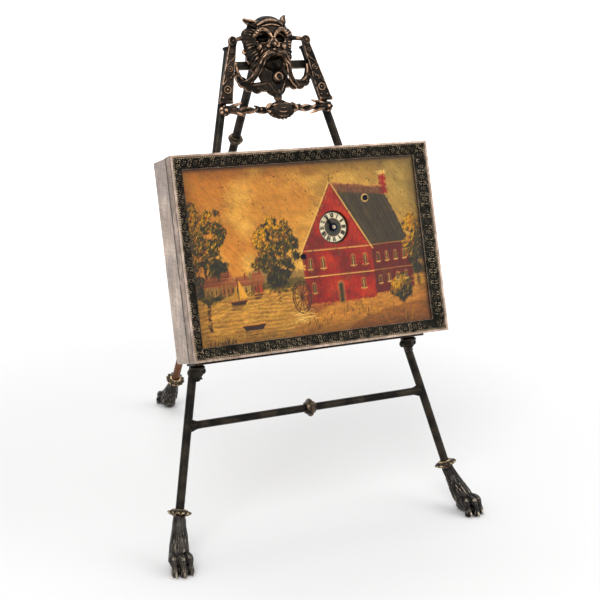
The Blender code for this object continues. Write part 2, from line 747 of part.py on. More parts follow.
def ledge(plane):
    top = CASE_BOTTOM - FIT
    low = top - LEDGE_THICKNESS
    back = CREST_BACK
    reach = leg_across(top) + LEDGE_PAST_LEGS
    box("ledge_bar", at(-reach, low, back + LEDGE_DEPTH), at(reach, top, back), plane, "bronze")
    for name, side in SIDES:
        middle = side * leg_across(low)
        form = bmesh.new()
        for across, down, out, width, height, depth in BRACKET_LUMP_SHARES:
            lump(
                form,
                at(middle + side * across * BRACKET_WIDTH, low - FIT - down * BRACKET_HEIGHT,
                   back + out * BRACKET_DEPTH),
                (width * BRACKET_WIDTH, depth * BRACKET_DEPTH, height * BRACKET_HEIGHT),
            )
        bracket = cast(f"{name}_ledge_bracket", form, FOOT_GRAIN, FOOT_KEPT_SHARE, plane, "bronze")
        reach = 2 * BRACKET_WIDTH
        above = box(
            f"{name}_bracket_top", at(middle - reach, low - FIT, back + reach),
            at(middle + reach, low + reach, -reach), plane, "bronze",
        )
        behind = box(
            f"{name}_bracket_back", at(middle - reach, low - reach, back),
            at(middle + reach, low + reach, -reach), plane, "bronze",
        )
        cut(bracket, above, behind)


# The crest


def mask_spot(across, up, out):
    return at(
        across * MASK_WIDTH, MASK_MIDDLE + up * MASK_HEIGHT,
        CROSSBAR_THICKNESS / 2 + FIT + out * MASK_DEPTH,
    )


def mask_strand(form, shares, side=1):
    strand(form, [
        (mask_spot(side * across, up, out), radius * MASK_WIDTH) for across, up, out, radius in shares
    ])


def crest_mask(plane):
    """A horned grotesque of the old ornamental kind, with its beard, arms and scalloped swags."""
    form = bmesh.new()
    rows = list(MASK_LUMP_SHARES)
    for across, *rest in MASK_PAIR_SHARES:
        rows += [(across, *rest), (-across, *rest)]
    for across, up, out, width, height, depth in rows:
        lump(
            form, mask_spot(across, up, out),
            (width * MASK_WIDTH, depth * MASK_DEPTH, height * MASK_HEIGHT),
        )
    mask_strand(form, BEARD_SHARES)
    for side in (-1, 1):
        mask_strand(form, MOUSTACHE_SHARES, side)
        mask_strand(form, ARM_SHARES, side)
        mask_strand(form, SWAG_SHARES, side)
    mask = cast("crest_mask", form, CREST_GRAIN, MASK_KEPT_SHARE, plane, "bronze")
    reach = 2 * MASK_HEIGHT
    behind = box(
        "mask_back", at(-reach, MASK_MIDDLE - reach, CROSSBAR_THICKNESS / 2 + FIT),
        at(reach, MASK_MIDDLE + reach, -reach), plane, "bronze",
    )
    return cut(mask, behind)


def crest_panel(name, side, plane):
    """A tapered engraved bar that lies on the leg, with a ring volute at its top."""
    back = CREST_BACK
    outline = []
    ends = ((PANEL_CREST_TOP, PANEL_CREST_TOP_WIDTH), (PANEL_CREST_BOTTOM, PANEL_CREST_BOTTOM_WIDTH))
    for up, width in ends:
        middle = side * (leg_across(up) - PANEL_CREST_INSET)
        outline.append(((middle - width / 2, up), (middle + width / 2, up)))
    (top_left, top_right), (low_left, low_right) = outline
    corners = [top_left, low_left, low_right, top_right]
    bar = sheet(name, [corners], 0, PANEL_CREST_THICKNESS, plane, "bronze")
    bar.data.transform(Matrix.Translation(at(0, 0, back)) @ Matrix.Rotation(math.pi / 2, 4, "X"))
    across = side * (leg_across(PANEL_CREST_TOP) - PANEL_CREST_INSET)
    up = PANEL_CREST_TOP + VOLUTE_RISE / 2
    volute_end = at(across, up, back + VOLUTE_DEPTH)
    volute = rod(
        name + "_volute", at(across, up, back), volute_end, VOLUTE_RADIUS, plane, "bronze", BOSS_SIDES,
    )
    return join(bar, volute)


def crest_vine(plane):
    """The twisted vine bar under the mask, with a shell at its middle and a rosette at each end."""
    out = CREST_BACK + VINE_RADIUS * 0.8
    half_length = leg_across(VINE_HEIGHT) - VINE_INSET
    form = bmesh.new()
    for phase in (0, math.pi):
        knots = []
        for i in range(VINE_STEPS + 1):
            share = i / VINE_STEPS
            turn = share * VINE_TURNS * 2 * math.pi + phase
            spot = at(
                (2 * share - 1) * half_length, VINE_HEIGHT + VINE_WAVE * math.sin(turn),
                out + VINE_WAVE * math.cos(turn) / 2,
            )
            knots.append((spot, VINE_RADIUS * 0.85))
        strand(form, knots, spacing_share=0.9)
    lump(
        form, at(0, VINE_HEIGHT - SHELL_HEIGHT * 0.06, out),
        (SHELL_WIDTH / 2, SHELL_DEPTH / 2, SHELL_HEIGHT / 2),
    )
    for side in (-1, 1):
        middle = at(side * half_length, VINE_HEIGHT, CREST_BACK + VINE_RADIUS / 2)
        lump(form, middle, (ROSETTE_RADIUS, ROSETTE_RADIUS * 0.8, ROSETTE_RADIUS))
    vine = cast("crest_vine_bar", form, CREST_GRAIN, VINE_KEPT_SHARE, plane, "bronze")
    reach = 2 * half_length
    behind = box(
        "vine_back", at(-reach, VINE_HEIGHT - reach, CREST_BACK), at(reach, VINE_HEIGHT + reach, -reach),
        plane, "bronze",
    )
    return cut(vine, behind)


# The rear leg and its hinge


def hinge(plane):
    reach = clear_of_legs(CROSSBAR_HEIGHT + CROSSBAR_TALL / 2)
    half = CROSSBAR_THICKNESS / 2
    bar = box(
        "hinge_crossbar", at(-reach, CROSSBAR_HEIGHT - CROSSBAR_TALL / 2, half),
        at(reach, CROSSBAR_HEIGHT + CROSSBAR_TALL / 2, -half), plane, "bronze",
    )
    inner = KNUCKLE_WIDTH / 2 + FIT
    for side in (-1, 1):
        near = side * inner
        far = side * (inner + EAR_THICKNESS)
        low = HINGE_HEIGHT - EAR_HEIGHT / 2
        arm = box(
            f"ear_{side}_arm", at(min(near, far), CROSSBAR_HEIGHT - CROSSBAR_TALL / 3, 0),
            at(max(near, far), HINGE_HEIGHT + EAR_HEIGHT / 2, HINGE_BACK), plane, "bronze",
        )
        eye = rod(
            f"ear_{side}_eye", at(near, HINGE_HEIGHT, HINGE_BACK), at(far, HINGE_HEIGHT, HINGE_BACK),
            EAR_HEIGHT / 2, plane, "bronze", BOSS_SIDES,
        )
        below = box(
            f"ear_{side}_below", at(min(near, far) - OVERRUN, CROSSBAR_HEIGHT - CROSSBAR_TALL, -half),
            at(max(near, far) + OVERRUN, low, HINGE_BACK - OVERRUN), plane, "bronze",
        )
        join(bar, cut(arm, below), eye)
    pin_reach = inner + EAR_THICKNESS + OVERRUN
    bore = rod(
        "hinge_bore", at(-pin_reach, HINGE_HEIGHT, HINGE_BACK), at(pin_reach, HINGE_HEIGHT, HINGE_BACK),
        HINGE_PIN_RADIUS + RUNNING, plane, "bronze",
    )
    cut(bar, bore)
    pin_end = inner + EAR_THICKNESS + HINGE_PIN_HEAD
    rod(
        "hinge_pin", at(-pin_end, HINGE_HEIGHT, HINGE_BACK), at(pin_end, HINGE_HEIGHT, HINGE_BACK),
        HINGE_PIN_RADIUS, plane, "steel",
    )


def rear_leg(ground):
    """The folding leg, in a frame at the hinge whose -Z runs down the leg."""
    spot = to_ground(at(0, HINGE_HEIGHT, HINGE_BACK))
    axis = new_empty("rear_leg_axis", ground, spot, (REAR_LEAN, 0, 0))
    to_axis = Matrix.Translation(spot) @ Matrix.Rotation(REAR_LEAN, 4, "X")
    half = KNUCKLE_WIDTH / 2
    reach = half + OVERRUN
    socket_end = KNUCKLE_RADIUS + REAR_LEG_RADIUS
    knuckle = rod("rear_leg_knuckle", (-half, 0, 0), (half, 0, 0), KNUCKLE_RADIUS, axis, "bronze")
    join(knuckle, rod("knuckle_socket", (0, 0, 0), (0, 0, -socket_end), REAR_LEG_RADIUS, axis, "bronze"))
    cut(
        knuckle,
        rod("knuckle_bore", (-reach, 0, 0), (reach, 0, 0), HINGE_PIN_RADIUS + RUNNING, axis, "bronze"),
    )
    top = Vector((0, 0, -socket_end - FIT))
    collar = Vector((0, 0, REAR_COLLAR_UP - REAR_LEG_LENGTH))
    low = collar - Vector((0, 0, COLLAR_DROP))
    bent_rod("rear_leg_rod", [top, top.lerp(low, 0.5), low], REAR_LEG_RADIUS, axis, "copper_bronze")
    turned("rear_leg_collar", collar_profile(REAR_LEG_RADIUS), axis, "collar_bronze", collar)
    turned(
        "rear_leg_knop",
        knop_profile(REAR_LEG_RADIUS, REAR_KNOP_RADIUS, REAR_KNOP_HALF_WIDTH, KNOP_CREST_HALF_WIDTH),
        axis, "collar_bronze", (0, 0, -REAR_KNOP_BELOW_HINGE),
    )
    ankle = to_axis @ (low - Vector((0, 0, FIT)))
    up = to_axis.to_3x3() @ Vector((0, 0, 1))
    tip = to_axis @ Vector((0, 0, -REAR_LEG_LENGTH))
    sole = Vector((0, tip.y + REAR_SOLE_BEYOND, 0))
    paw = paw_foot("rear_paw_foot", ankle, up, sole, Vector((0, 1, 0)), ground)
    paw.parent = axis
    paw.matrix_parent_inverse = to_axis.inverted()


# The clock case. Its frame's origin is at the middle of its bottom edge, on the outside of its back.


def case_body(case):
    half = CASE_WIDTH / 2
    body = box(
        "case_body", at(-half, 0, CASE_BODY_DEPTH), at(half, CASE_HEIGHT, 0), case, "case_metal",
        CASE_EDGE_ROUND,
    )
    hollow = box(
        "case_hollow", at(CASE_WALL - half, CASE_WALL, CASE_BODY_DEPTH + OVERRUN),
        at(half - CASE_WALL, CASE_HEIGHT - CASE_WALL, CASE_BACK_WALL), case, "case_metal",
    )
    doorway = box(
        "cover_opening", at(COVER_LEFT - FIT, COVER_LOW - FIT, CASE_BACK_WALL + OVERRUN),
        at(COVER_RIGHT + FIT, COVER_HIGH + FIT, -OVERRUN), case, "case_metal",
    )
    return cut(body, hollow, doorway)


def rear_cover(case, body):
    """The cover over the winding key, its knuckle between two lugs of the case."""
    axis = new_empty("rear_cover_axis", case, at(COVER_LEFT + COVER_HINGE_INSET, 0, -COVER_HINGE_BEHIND))
    edge = Vector((-COVER_HINGE_INSET, -COVER_HINGE_BEHIND, 0))
    cover = box(
        "rear_cover", edge + at(0, COVER_LOW, CASE_BACK_WALL),
        edge + at(COVER_RIGHT - COVER_LEFT, COVER_HIGH, 0), axis, "case_metal",
    )
    lug_low = COVER_LOW - FIT - COVER_LUG_LENGTH
    lug_high = COVER_HIGH + FIT + COVER_LUG_LENGTH
    bore = COVER_PIN_RADIUS + RUNNING
    join(
        cover,
        rod("cover_knuckle", at(0, COVER_LOW), at(0, COVER_HIGH), COVER_KNUCKLE_RADIUS, axis, "case_metal"),
    )
    cut(cover, rod(
        "cover_knuckle_bore", at(0, COVER_LOW - OVERRUN), at(0, COVER_HIGH + OVERRUN), bore, axis,
        "case_metal", PIVOT_SIDES,
    ))
    join(
        body,
        rod("low_lug", at(0, lug_low), at(0, COVER_LOW - FIT), COVER_KNUCKLE_RADIUS, axis, "case_metal"),
        rod("high_lug", at(0, COVER_HIGH + FIT), at(0, lug_high), COVER_KNUCKLE_RADIUS, axis, "case_metal"),
    )
    cut(body, rod(
        "lug_bore", at(0, lug_low - OVERRUN), at(0, lug_high + OVERRUN), bore, axis, "case_metal",
        PIVOT_SIDES,
    ))
    rod("cover_hinge_pin", at(0, lug_low), at(0, lug_high), COVER_PIN_RADIUS, axis, "steel", PIVOT_SIDES)
    knob_across = COVER_RIGHT - COVER_LEFT - COVER_HINGE_INSET - COVER_KNOB_FROM_EDGE
    profile = [
        (0, COVER_KNOB_LENGTH), (COVER_KNOB_RADIUS, COVER_KNOB_LENGTH),
        (COVER_KNOB_RADIUS, COVER_KNOB_LENGTH / 2), (COVER_KNOB_STEM_RADIUS, COVER_KNOB_LENGTH / 3),
        (COVER_KNOB_STEM_RADIUS, 0), (0, 0),
    ]
    turned(
        "cover_knob", profile, axis, "brass",
        at(knob_across, (COVER_LOW + COVER_HIGH) / 2, COVER_HINGE_BEHIND - FIT), (0, 1, 0),
    )


def front_bezel(case):
    """The moulded frame: rim, step and sloping moulding are insets of the front face of one block."""
    half = CASE_WIDTH / 2
    corners = at(-half, 0, BEZEL_FRONT), at(half, CASE_HEIGHT, BEZEL_BACK)
    bezel = box("front_bezel", *corners, case, "bezel_metal")
    form = bmesh.new()
    form.from_mesh(bezel.data)
    form.normal_update()
    face = min(form.faces, key=lambda f: f.calc_center_median().y)
    insets = (
        (BEZEL_RIM, 0.0),
        (BEZEL_STEP_WIDTH, -BEZEL_STEP_DEPTH),
        (BEZEL_MOULDING_WIDTH, -BEZEL_MOULDING_DEPTH),
    )
    for width, depth in insets:
        bmesh.ops.inset_region(form, faces=[face], thickness=width, depth=depth, use_even_offset=True)
    form.to_mesh(bezel.data)
    form.free()
    sight = box(
        "sight_opening", at(BEZEL_MARGIN - half, BEZEL_MARGIN, BEZEL_FRONT + OVERRUN),
        at(half - BEZEL_MARGIN, CASE_HEIGHT - BEZEL_MARGIN, BEZEL_BACK - OVERRUN), case, "bezel_metal",
    )
    rebate = box(
        "bezel_rebate", at(BEZEL_SKIRT_WALL - half, BEZEL_SKIRT_WALL, BEZEL_LIP_FRONT - BEZEL_LIP),
        at(half - BEZEL_SKIRT_WALL, CASE_HEIGHT - BEZEL_SKIRT_WALL, BEZEL_BACK - OVERRUN),
        case, "bezel_metal",
    )
    return cut(bezel, sight, rebate)


# The dial's frame: origin on its axis at the inner face of the movement's back plate, X right, Y up,
# Z forward.


def screw_spots():
    spot = Vector((SCREW_ACROSS_SHARE, SCREW_UP_SHARE, 0)) * PLATE_RADIUS
    return {"upper_movement_screw": spot, "lower_movement_screw": -spot}


def picture_panel(dial):
    half = CASE_WIDTH / 2 - BEZEL_MARGIN + PANEL_LAP
    low = BEZEL_MARGIN - PANEL_LAP - DIAL_UP
    high = CASE_HEIGHT - BEZEL_MARGIN + PANEL_LAP - DIAL_UP
    left = -half - DIAL_ACROSS
    right = half - DIAL_ACROSS
    edge = [(left, low), (right, low), (right, high), (left, high)]
    outlines = [edge, circle(DIAL_OPENING_RADIUS, DIAL_SIDES)]
    for spot in screw_spots().values():
        outlines.append(circle(SCREW_SHANK_RADIUS + FIT, PIVOT_SIDES, spot))
    sheet("picture_panel", outlines, PANEL_BACK, PANEL_FRONT, dial, "picture")
    sheet(
        "dial_plate", [circle(DIAL_RADIUS, DIAL_SIDES), circle(HOUR_PIPE_RADIUS + FIT)],
        DIAL_FRONT - DIAL_THICKNESS, DIAL_FRONT, dial, "dial",
    )


def movement_screws(dial):
    """Two slotted screws that hold the movement to the picture panel."""
    low = PANEL_FRONT + FIT
    high = low + SCREW_HEAD_THICKNESS
    for name, spot in screw_spots().items():
        axis = new_empty(name + "_axis", dial, spot)
        screw = arbor(name, low, high, axis, SCREW_HEAD_RADIUS, "blued_steel", SCREW_SIDES)
        join(screw, arbor(
            name + "_shank", low - SCREW_SHANK_LENGTH, low + SCREW_HEAD_THICKNESS / 2, axis,
            SCREW_SHANK_RADIUS, "blued_steel",
        ))
        reach = SCREW_HEAD_RADIUS + OVERRUN
        half = SCREW_SLOT_WIDTH / 2
        slot = box(
            name + "_slot", (-reach, -half, high - SCREW_SLOT_DEPTH), (reach, half, high + OVERRUN), axis,
            "blued_steel",
        )
        cut(screw, slot)


# The movement. Each arbor has an empty on its axis, and its pieces are built round that.


def gear_outline(module, teeth, turn=0.0):
    """Pointed teeth, thin enough where they meet that meshed wheels stay clear of each other."""
    pitch = module * teeth / 2
    outer = pitch + TOOTH_ADDENDUM_SHARE * module
    root = pitch - TOOTH_DEDENDUM_SHARE * module
    step = 2 * math.pi / teeth
    points = []
    for i in range(teeth):
        points.append(polar(outer, turn + step * i).xy)
        points.append(polar(root, turn + step * (i + 0.5)).xy)
    return points


def saw_outline(radius, root, teeth):
    """Ratchet or escape teeth: a steep face and a long back."""
    step = 2 * math.pi / teeth
    points = []
    for i in range(teeth):
        points.append(polar(radius, step * i).xy)
        points.append(polar(root, step * (i + SAW_FACE_SHARE)).xy)
    return points


def mesh_turn(driver_teeth, follower_teeth, line, driver_turn=0.0):
    """The turn that puts a gap of the follower where the driver has a tooth, on the line between them."""
    offset = ((line - driver_turn) * driver_teeth / (2 * math.pi)) % 1.0
    return line + math.pi + 2 * math.pi / follower_teeth * (0.5 + offset)


def arbor(name, low, high, axis, radius=ARBOR_RADIUS, finish="steel", sides=PIVOT_SIDES):
    return rod(name, (0, 0, low), (0, 0, high), radius, axis, finish, sides)


def wheel(name, module, teeth, turn, low, thickness, axis, finish="brass"):
    return sheet(name, [gear_outline(module, teeth, turn)], low, low + thickness, axis, finish)


def pitch_distance(module, teeth, other_teeth):
    return module * (teeth + other_teeth) / 2


def wheel_centres():
    """Where each arbor stands, from the pitch radii of the wheels that mesh."""
    barrel = polar(pitch_distance(BARREL_MODULE, BARREL_TEETH, CENTRE_PINION_TEETH), BARREL_LINE)
    third = polar(pitch_distance(CENTRE_MODULE, CENTRE_TEETH, THIRD_PINION_TEETH), THIRD_LINE)
    escape = third + polar(pitch_distance(THIRD_MODULE, THIRD_TEETH, ESCAPE_PINION_TEETH), ESCAPE_LINE)
    balance = Vector((BALANCE_ACROSS, BALANCE_UP, 0))
    return {
        "barrel": barrel,
        "third": third,
        "escape": escape,
        "balance": balance,
        "lever": escape + (balance - escape).normalized() * LEVER_FROM_ESCAPE,
        "minute": polar(pitch_distance(MOTION_MODULE, CANNON_TEETH, MINUTE_WHEEL_TEETH), MOTION_LINE),
    }


def plates(dial):
    spots = wheel_centres()
    holes = [circle(ARBOR_RADIUS + RUNNING)]
    for name in ("third", "escape", "balance", "lever"):
        holes.append(circle(ARBOR_RADIUS + RUNNING, PIVOT_SIDES, spots[name]))
    holes.append(circle(BARREL_ARBOR_RADIUS + RUNNING, PIVOT_SIDES, spots["barrel"]))
    rim = circle(PLATE_RADIUS, PLATE_SIDES)
    sheet("movement_back_plate", [rim, *holes], BACK_PLATE_AT, 0, dial, "brass")
    holes.append(circle(ARBOR_RADIUS + RUNNING, PIVOT_SIDES, spots["minute"]))
    front = sheet("movement_front_plate", [rim, *holes], FRONT_PLATE_AT, FRONT_PLATE_FACE, dial, "brass")
    for name, spot in screw_spots().items():
        axis = bpy.data.objects[name + "_axis"]
        join(
            front,
            arbor(name + "_post", FRONT_PLATE_FACE - SINK, PANEL_BACK - FIT, axis, POST_RADIUS, "brass"),
        )
        cut(front, arbor(
            name + "_bore", FRONT_PLATE_AT - OVERRUN, PANEL_BACK + OVERRUN, axis, SCREW_SHANK_RADIUS + FIT,
            "brass",
        ))
    for name, degrees in PILLAR_ANGLES_DEG.items():
        spot = polar(PILLAR_CIRCLE, math.radians(degrees))
        low = spot + Vector((0, 0, FIT))
        high = spot + Vector((0, 0, FRONT_PLATE_AT - FIT))
        rod(name, low, high, PILLAR_RADIUS, dial, "brass", PIVOT_SIDES)


def coil_outline(turns, inner, outer, thickness):
    """A coiled strip: out along its inner face and back along its outer one."""
    steps = turns * COIL_STEPS_PER_TURN
    inside = []
    outside = []
    for i in range(steps + 1):
        angle = 2 * math.pi * turns * i / steps
        radius = inner + (outer - inner - thickness) * i / steps
        inside.append(polar(radius, angle).xy)
        outside.append(polar(radius + thickness, angle).xy)
    return inside + outside[::-1]


def barrel(axis):
    floor = BARREL_AT + BARREL_WALL
    top = BARREL_AT + BARREL_DEPTH
    inside = BARREL_DRUM_RADIUS - BARREL_WALL
    bore = BARREL_ARBOR_RADIUS + RUNNING
    turn = mesh_turn(CENTRE_PINION_TEETH, BARREL_TEETH, BARREL_LINE)
    drum = wheel("barrel_drum", BARREL_MODULE, BARREL_TEETH, turn, BARREL_AT, BARREL_TOOTHED, axis)
    join(drum, arbor("drum_wall", BARREL_AT + SINK, top, axis, BARREL_DRUM_RADIUS, "brass", DRUM_SIDES))
    cut(
        drum,
        arbor("drum_hollow", floor, top + OVERRUN, axis, inside, "brass", DRUM_SIDES),
        arbor("drum_bore", BARREL_AT - OVERRUN, floor + OVERRUN, axis, bore),
    )
    cover_at = top + FIT
    sheet(
        "barrel_cover", [circle(BARREL_DRUM_RADIUS, DRUM_SIDES), circle(bore)], cover_at,
        cover_at + BARREL_COVER_THICKNESS, axis, "brass",
    )
    coil = coil_outline(MAINSPRING_TURNS, BARREL_CORE_RADIUS + FIT, inside - FIT, MAINSPRING_THICKNESS)
    sheet("mainspring", [coil], floor + FIT, top - FIT, axis, "blued_steel")
    shaft = arbor("barrel_arbor", KEY_AT + KEY_LENGTH / 3, FRONT_PLATE_FACE, axis, BARREL_ARBOR_RADIUS)
    join(shaft, arbor("arbor_core", floor + FIT, top - FIT, axis, BARREL_CORE_RADIUS))


def winding(axis):
    """The ratchet wheel and the butterfly key, both fixed on the barrel arbor."""
    teeth = saw_outline(RATCHET_RADIUS, RATCHET_ROOT_RADIUS, RATCHET_TEETH)
    sheet(
        "ratchet_wheel", [teeth, circle(BARREL_ARBOR_RADIUS + RUNNING)],
        RATCHET_AT, RATCHET_AT + RATCHET_THICKNESS, axis, "steel",
    )
    key_end = KEY_AT + KEY_LENGTH
    wing_round = KEY_LENGTH / 2
    wing_across = KEY_WING_SPAN - wing_round
    key = arbor("winding_key", KEY_AT, key_end, axis, KEY_HUB_RADIUS, "brass")
    for side in (-1, 1):
        middle = Vector((side * wing_across, 0, KEY_AT + wing_round))
        half = Vector((0, KEY_WING_THICKNESS / 2, 0))
        join(key, rod(f"key_wing_{side}", middle - half, middle + half, wing_round, axis, "brass"))
    web = KEY_WING_THICKNESS / 3
    join(key, box(
        "key_web", (-wing_across, -web, KEY_AT + wing_round / 2),
        (wing_across, web, KEY_AT + wing_round * 1.5), axis, "brass",
    ))
    cut(key, arbor(
        "key_bore", KEY_AT + KEY_LENGTH / 3 - FIT, key_end + OVERRUN, axis, BARREL_ARBOR_RADIUS + RUNNING,
    ))


def click(dial):
    """The pawl that holds the ratchet wheel."""
    from_ratchet = polar(CLICK_FROM_RATCHET, CLICK_LINE)
    axis = new_empty("click_axis", dial, wheel_centres()["barrel"] + from_ratchet)
    towards = -from_ratchet.normalized()
    across = Vector((-towards.y, towards.x, 0))
    point = towards * (CLICK_FROM_RATCHET - RATCHET_RADIUS - FIT)
    half = across * (CLICK_POINT_WIDTH / 2)
    wide = across * CLICK_HEEL_RADIUS
    outline = [wide.xy, (-wide).xy, (point - half).xy, (point + half).xy]
    high = RATCHET_AT + RATCHET_THICKNESS
    pawl = arbor("click", RATCHET_AT, high, axis, CLICK_HEEL_RADIUS * 1.1)
    join(
        pawl,
        sheet("click_pawl", [outline], RATCHET_AT, high, axis, "steel"),
        arbor("click_stud", RATCHET_AT + RATCHET_THICKNESS / 2, BACK_PLATE_AT - RUNNING, axis, ARBOR_RADIUS),
    )


def going_train(dial):
    centre = arbor("centre_wheel", SET_KNOB_AT, ARBOR_FRONT, dial)
    join(
        centre,
        wheel("centre_rim", CENTRE_MODULE, CENTRE_TEETH, 0, CENTRE_WHEEL_AT, WHEEL_THICKNESS, dial),
        wheel(
            "centre_pinion", BARREL_MODULE, CENTRE_PINION_TEETH, 0, CENTRE_PINION_AT, CENTRE_PINION_LENGTH,
            dial, "steel",
        ),
    )
    third_axis = new_empty("third_axis", dial, wheel_centres()["third"])
    third_turn = mesh_turn(CENTRE_TEETH, THIRD_PINION_TEETH, THIRD_LINE)
    join(
        arbor("third_wheel", BACK_PLATE_AT, FRONT_PLATE_FACE, third_axis),
        wheel("third_rim", THIRD_MODULE, THIRD_TEETH, 0, THIRD_WHEEL_AT, WHEEL_THICKNESS, third_axis),
        wheel(
            "third_pinion", CENTRE_MODULE, THIRD_PINION_TEETH, third_turn, THIRD_PINION_AT,
            THIRD_PINION_LENGTH, third_axis, "steel",
        ),
    )
    escape_axis = new_empty("escape_axis", dial, wheel_centres()["escape"])
    escape_turn = mesh_turn(THIRD_TEETH, ESCAPE_PINION_TEETH, ESCAPE_LINE)
    join(
        arbor("escape_wheel", BACK_PLATE_AT, FRONT_PLATE_FACE, escape_axis),
        sheet(
            "escape_rim", [saw_outline(ESCAPE_RADIUS, ESCAPE_ROOT_RADIUS, ESCAPE_TEETH)], ESCAPE_AT,
            ESCAPE_AT + WHEEL_THICKNESS, escape_axis, "brass",
        ),
        wheel(
            "escape_pinion", THIRD_MODULE, ESCAPE_PINION_TEETH, escape_turn, ESCAPE_PINION_AT,
            ESCAPE_PINION_LENGTH, escape_axis, "steel",
        ),
    )


def lever(dial):
    spots = wheel_centres()
    axis = new_empty("lever_axis", dial, spots["lever"])
    ahead = (spots["escape"] - spots["lever"]).normalized()
    across = Vector((-ahead.y, ahead.x, 0))
    body = across * (LEVER_BODY_WIDTH / 2)
    fork = -ahead * LEVER_FORK
    reach = ahead * LEVER_PALLET_WIDTH * 2
    arm = across * LEVER_ARM
    inner_arm = across * (LEVER_ARM - LEVER_PALLET_WIDTH)
    outline = [
        fork + body, body, arm + reach, inner_arm + reach, ahead * LEVER_BODY_WIDTH / 2, reach - inner_arm,
        reach - arm, -body, fork - body,
    ]
    flat = [point.xy for point in outline]
    join(
        arbor("lever", BACK_PLATE_AT, FRONT_PLATE_FACE, axis),
        sheet("lever_blade", [flat], ESCAPE_AT, ESCAPE_AT + WHEEL_THICKNESS, axis, "steel"),
    )


def balance(dial):
    axis = new_empty("balance_axis", dial, wheel_centres()["balance"])
    rim_hole = BALANCE_RADIUS - BALANCE_RIM
    ring = sheet(
        "balance_ring", [circle(BALANCE_RADIUS, DRUM_SIDES), circle(rim_hole, DRUM_SIDES)], BALANCE_AT,
        BALANCE_AT + WHEEL_THICKNESS, axis, "brass",
    )
    half = BALANCE_SPOKE / 2
    reach = rim_hole + BALANCE_RIM / 2
    low = BALANCE_AT + WHEEL_THICKNESS / 6
    high = BALANCE_AT + WHEEL_THICKNESS * 5 / 6
    join(
        arbor("balance_wheel", BACK_PLATE_AT, FRONT_PLATE_FACE, axis),
        box("balance_spoke", (-reach, -half, low), (reach, half, high), axis, "brass"),
        ring,
        arbor("balance_roller", ROLLER_AT, ROLLER_AT + WHEEL_THICKNESS, axis, ROLLER_RADIUS),
        arbor(
            "balance_collet", HAIRSPRING_AT - WHEEL_THICKNESS, HAIRSPRING_AT + WHEEL_THICKNESS, axis,
            BALANCE_COLLET_RADIUS,
        ),
    )
    steps = HAIRSPRING_TURNS * COIL_STEPS_PER_TURN
    inner = BALANCE_COLLET_RADIUS + HAIRSPRING_WIRE + FIT
    points = []
    for i in range(steps + 1):
        angle = 2 * math.pi * HAIRSPRING_TURNS * i / steps
        spot = polar(inner + (HAIRSPRING_RADIUS - inner) * i / steps, angle)
        points.append(spot + Vector((0, 0, HAIRSPRING_AT)))
    bent_rod("hairspring", points, HAIRSPRING_WIRE, axis, "blued_steel", detail=0)


def motion_work(dial):
    """The 12 to 1 gearing under the dial: cannon pinion, minute wheel and hour wheel."""
    cannon = wheel(
        "cannon_pinion", MOTION_MODULE, CANNON_TEETH, 0, CANNON_AT, WHEEL_THICKNESS, dial, "steel",
    )
    tube_end = MINUTE_HAND_AT + HAND_THICKNESS
    join(cannon, arbor("cannon_tube", CANNON_AT + SINK / 2, tube_end, dial, CANNON_RADIUS))
    cut(cannon, arbor("cannon_bore", CANNON_AT - OVERRUN, tube_end + OVERRUN, dial, ARBOR_RADIUS + RUNNING))
    minute_axis = new_empty("minute_axis", dial, wheel_centres()["minute"])
    minute_turn = mesh_turn(CANNON_TEETH, MINUTE_WHEEL_TEETH, MOTION_LINE)
    minute = wheel(
        "minute_wheel", MOTION_MODULE, MINUTE_WHEEL_TEETH, minute_turn, CANNON_AT, WHEEL_THICKNESS,
        minute_axis,
    )
    pinion_low = CANNON_AT + WHEEL_THICKNESS / 2
    pinion_high = HOUR_WHEEL_AT + WHEEL_THICKNESS
    join(
        minute,
        arbor("minute_stud", FRONT_PLATE_AT, pinion_high - WHEEL_THICKNESS / 2, minute_axis),
        wheel(
            "minute_pinion", MOTION_MODULE, MINUTE_PINION_TEETH, 0, pinion_low, pinion_high - pinion_low,
            minute_axis, "steel",
        ),
    )
    hour_turn = mesh_turn(MINUTE_PINION_TEETH, HOUR_WHEEL_TEETH, MOTION_LINE + math.pi)
    hour = wheel(
        "hour_wheel", MOTION_MODULE, HOUR_WHEEL_TEETH, hour_turn, HOUR_WHEEL_AT, WHEEL_THICKNESS, dial,
    )
    pipe_end = HOUR_HAND_AT + HAND_THICKNESS
    join(hour, arbor("hour_pipe", HOUR_WHEEL_AT + SINK / 2, pipe_end, dial, HOUR_PIPE_RADIUS))
    cut(
        hour,
        arbor("hour_bore", HOUR_WHEEL_AT - OVERRUN, pipe_end + OVERRUN, dial, CANNON_RADIUS + RUNNING * 1.5),
    )


def hand(name, length, width, hub, bore, low, turn, dial):
    """A leaf-shaped hand: a hub, a stem that swells to a belly, and a narrow point."""
    high = low + HAND_THICKNESS
    belly = length * HAND_BELLY_SHARE
    point = HAND_POINT_WIDTH / 2
    blade = [
        (-width / 3, 0), (-width / 2, belly), (-point, length), (point, length), (width / 2, belly),
        (width / 3, 0),
    ]
    hand_piece = sheet(name, [circle(hub, HAND_HUB_SIDES)], low, high, dial, "blued_steel")
    hand_piece.rotation_euler.z = turn
    join(hand_piece, sheet(name + "_blade", [blade], low, high, hand_piece, "blued_steel"))
    cut(hand_piece, arbor(name + "_bore", low - OVERRUN, low + OVERRUN, hand_piece, bore))


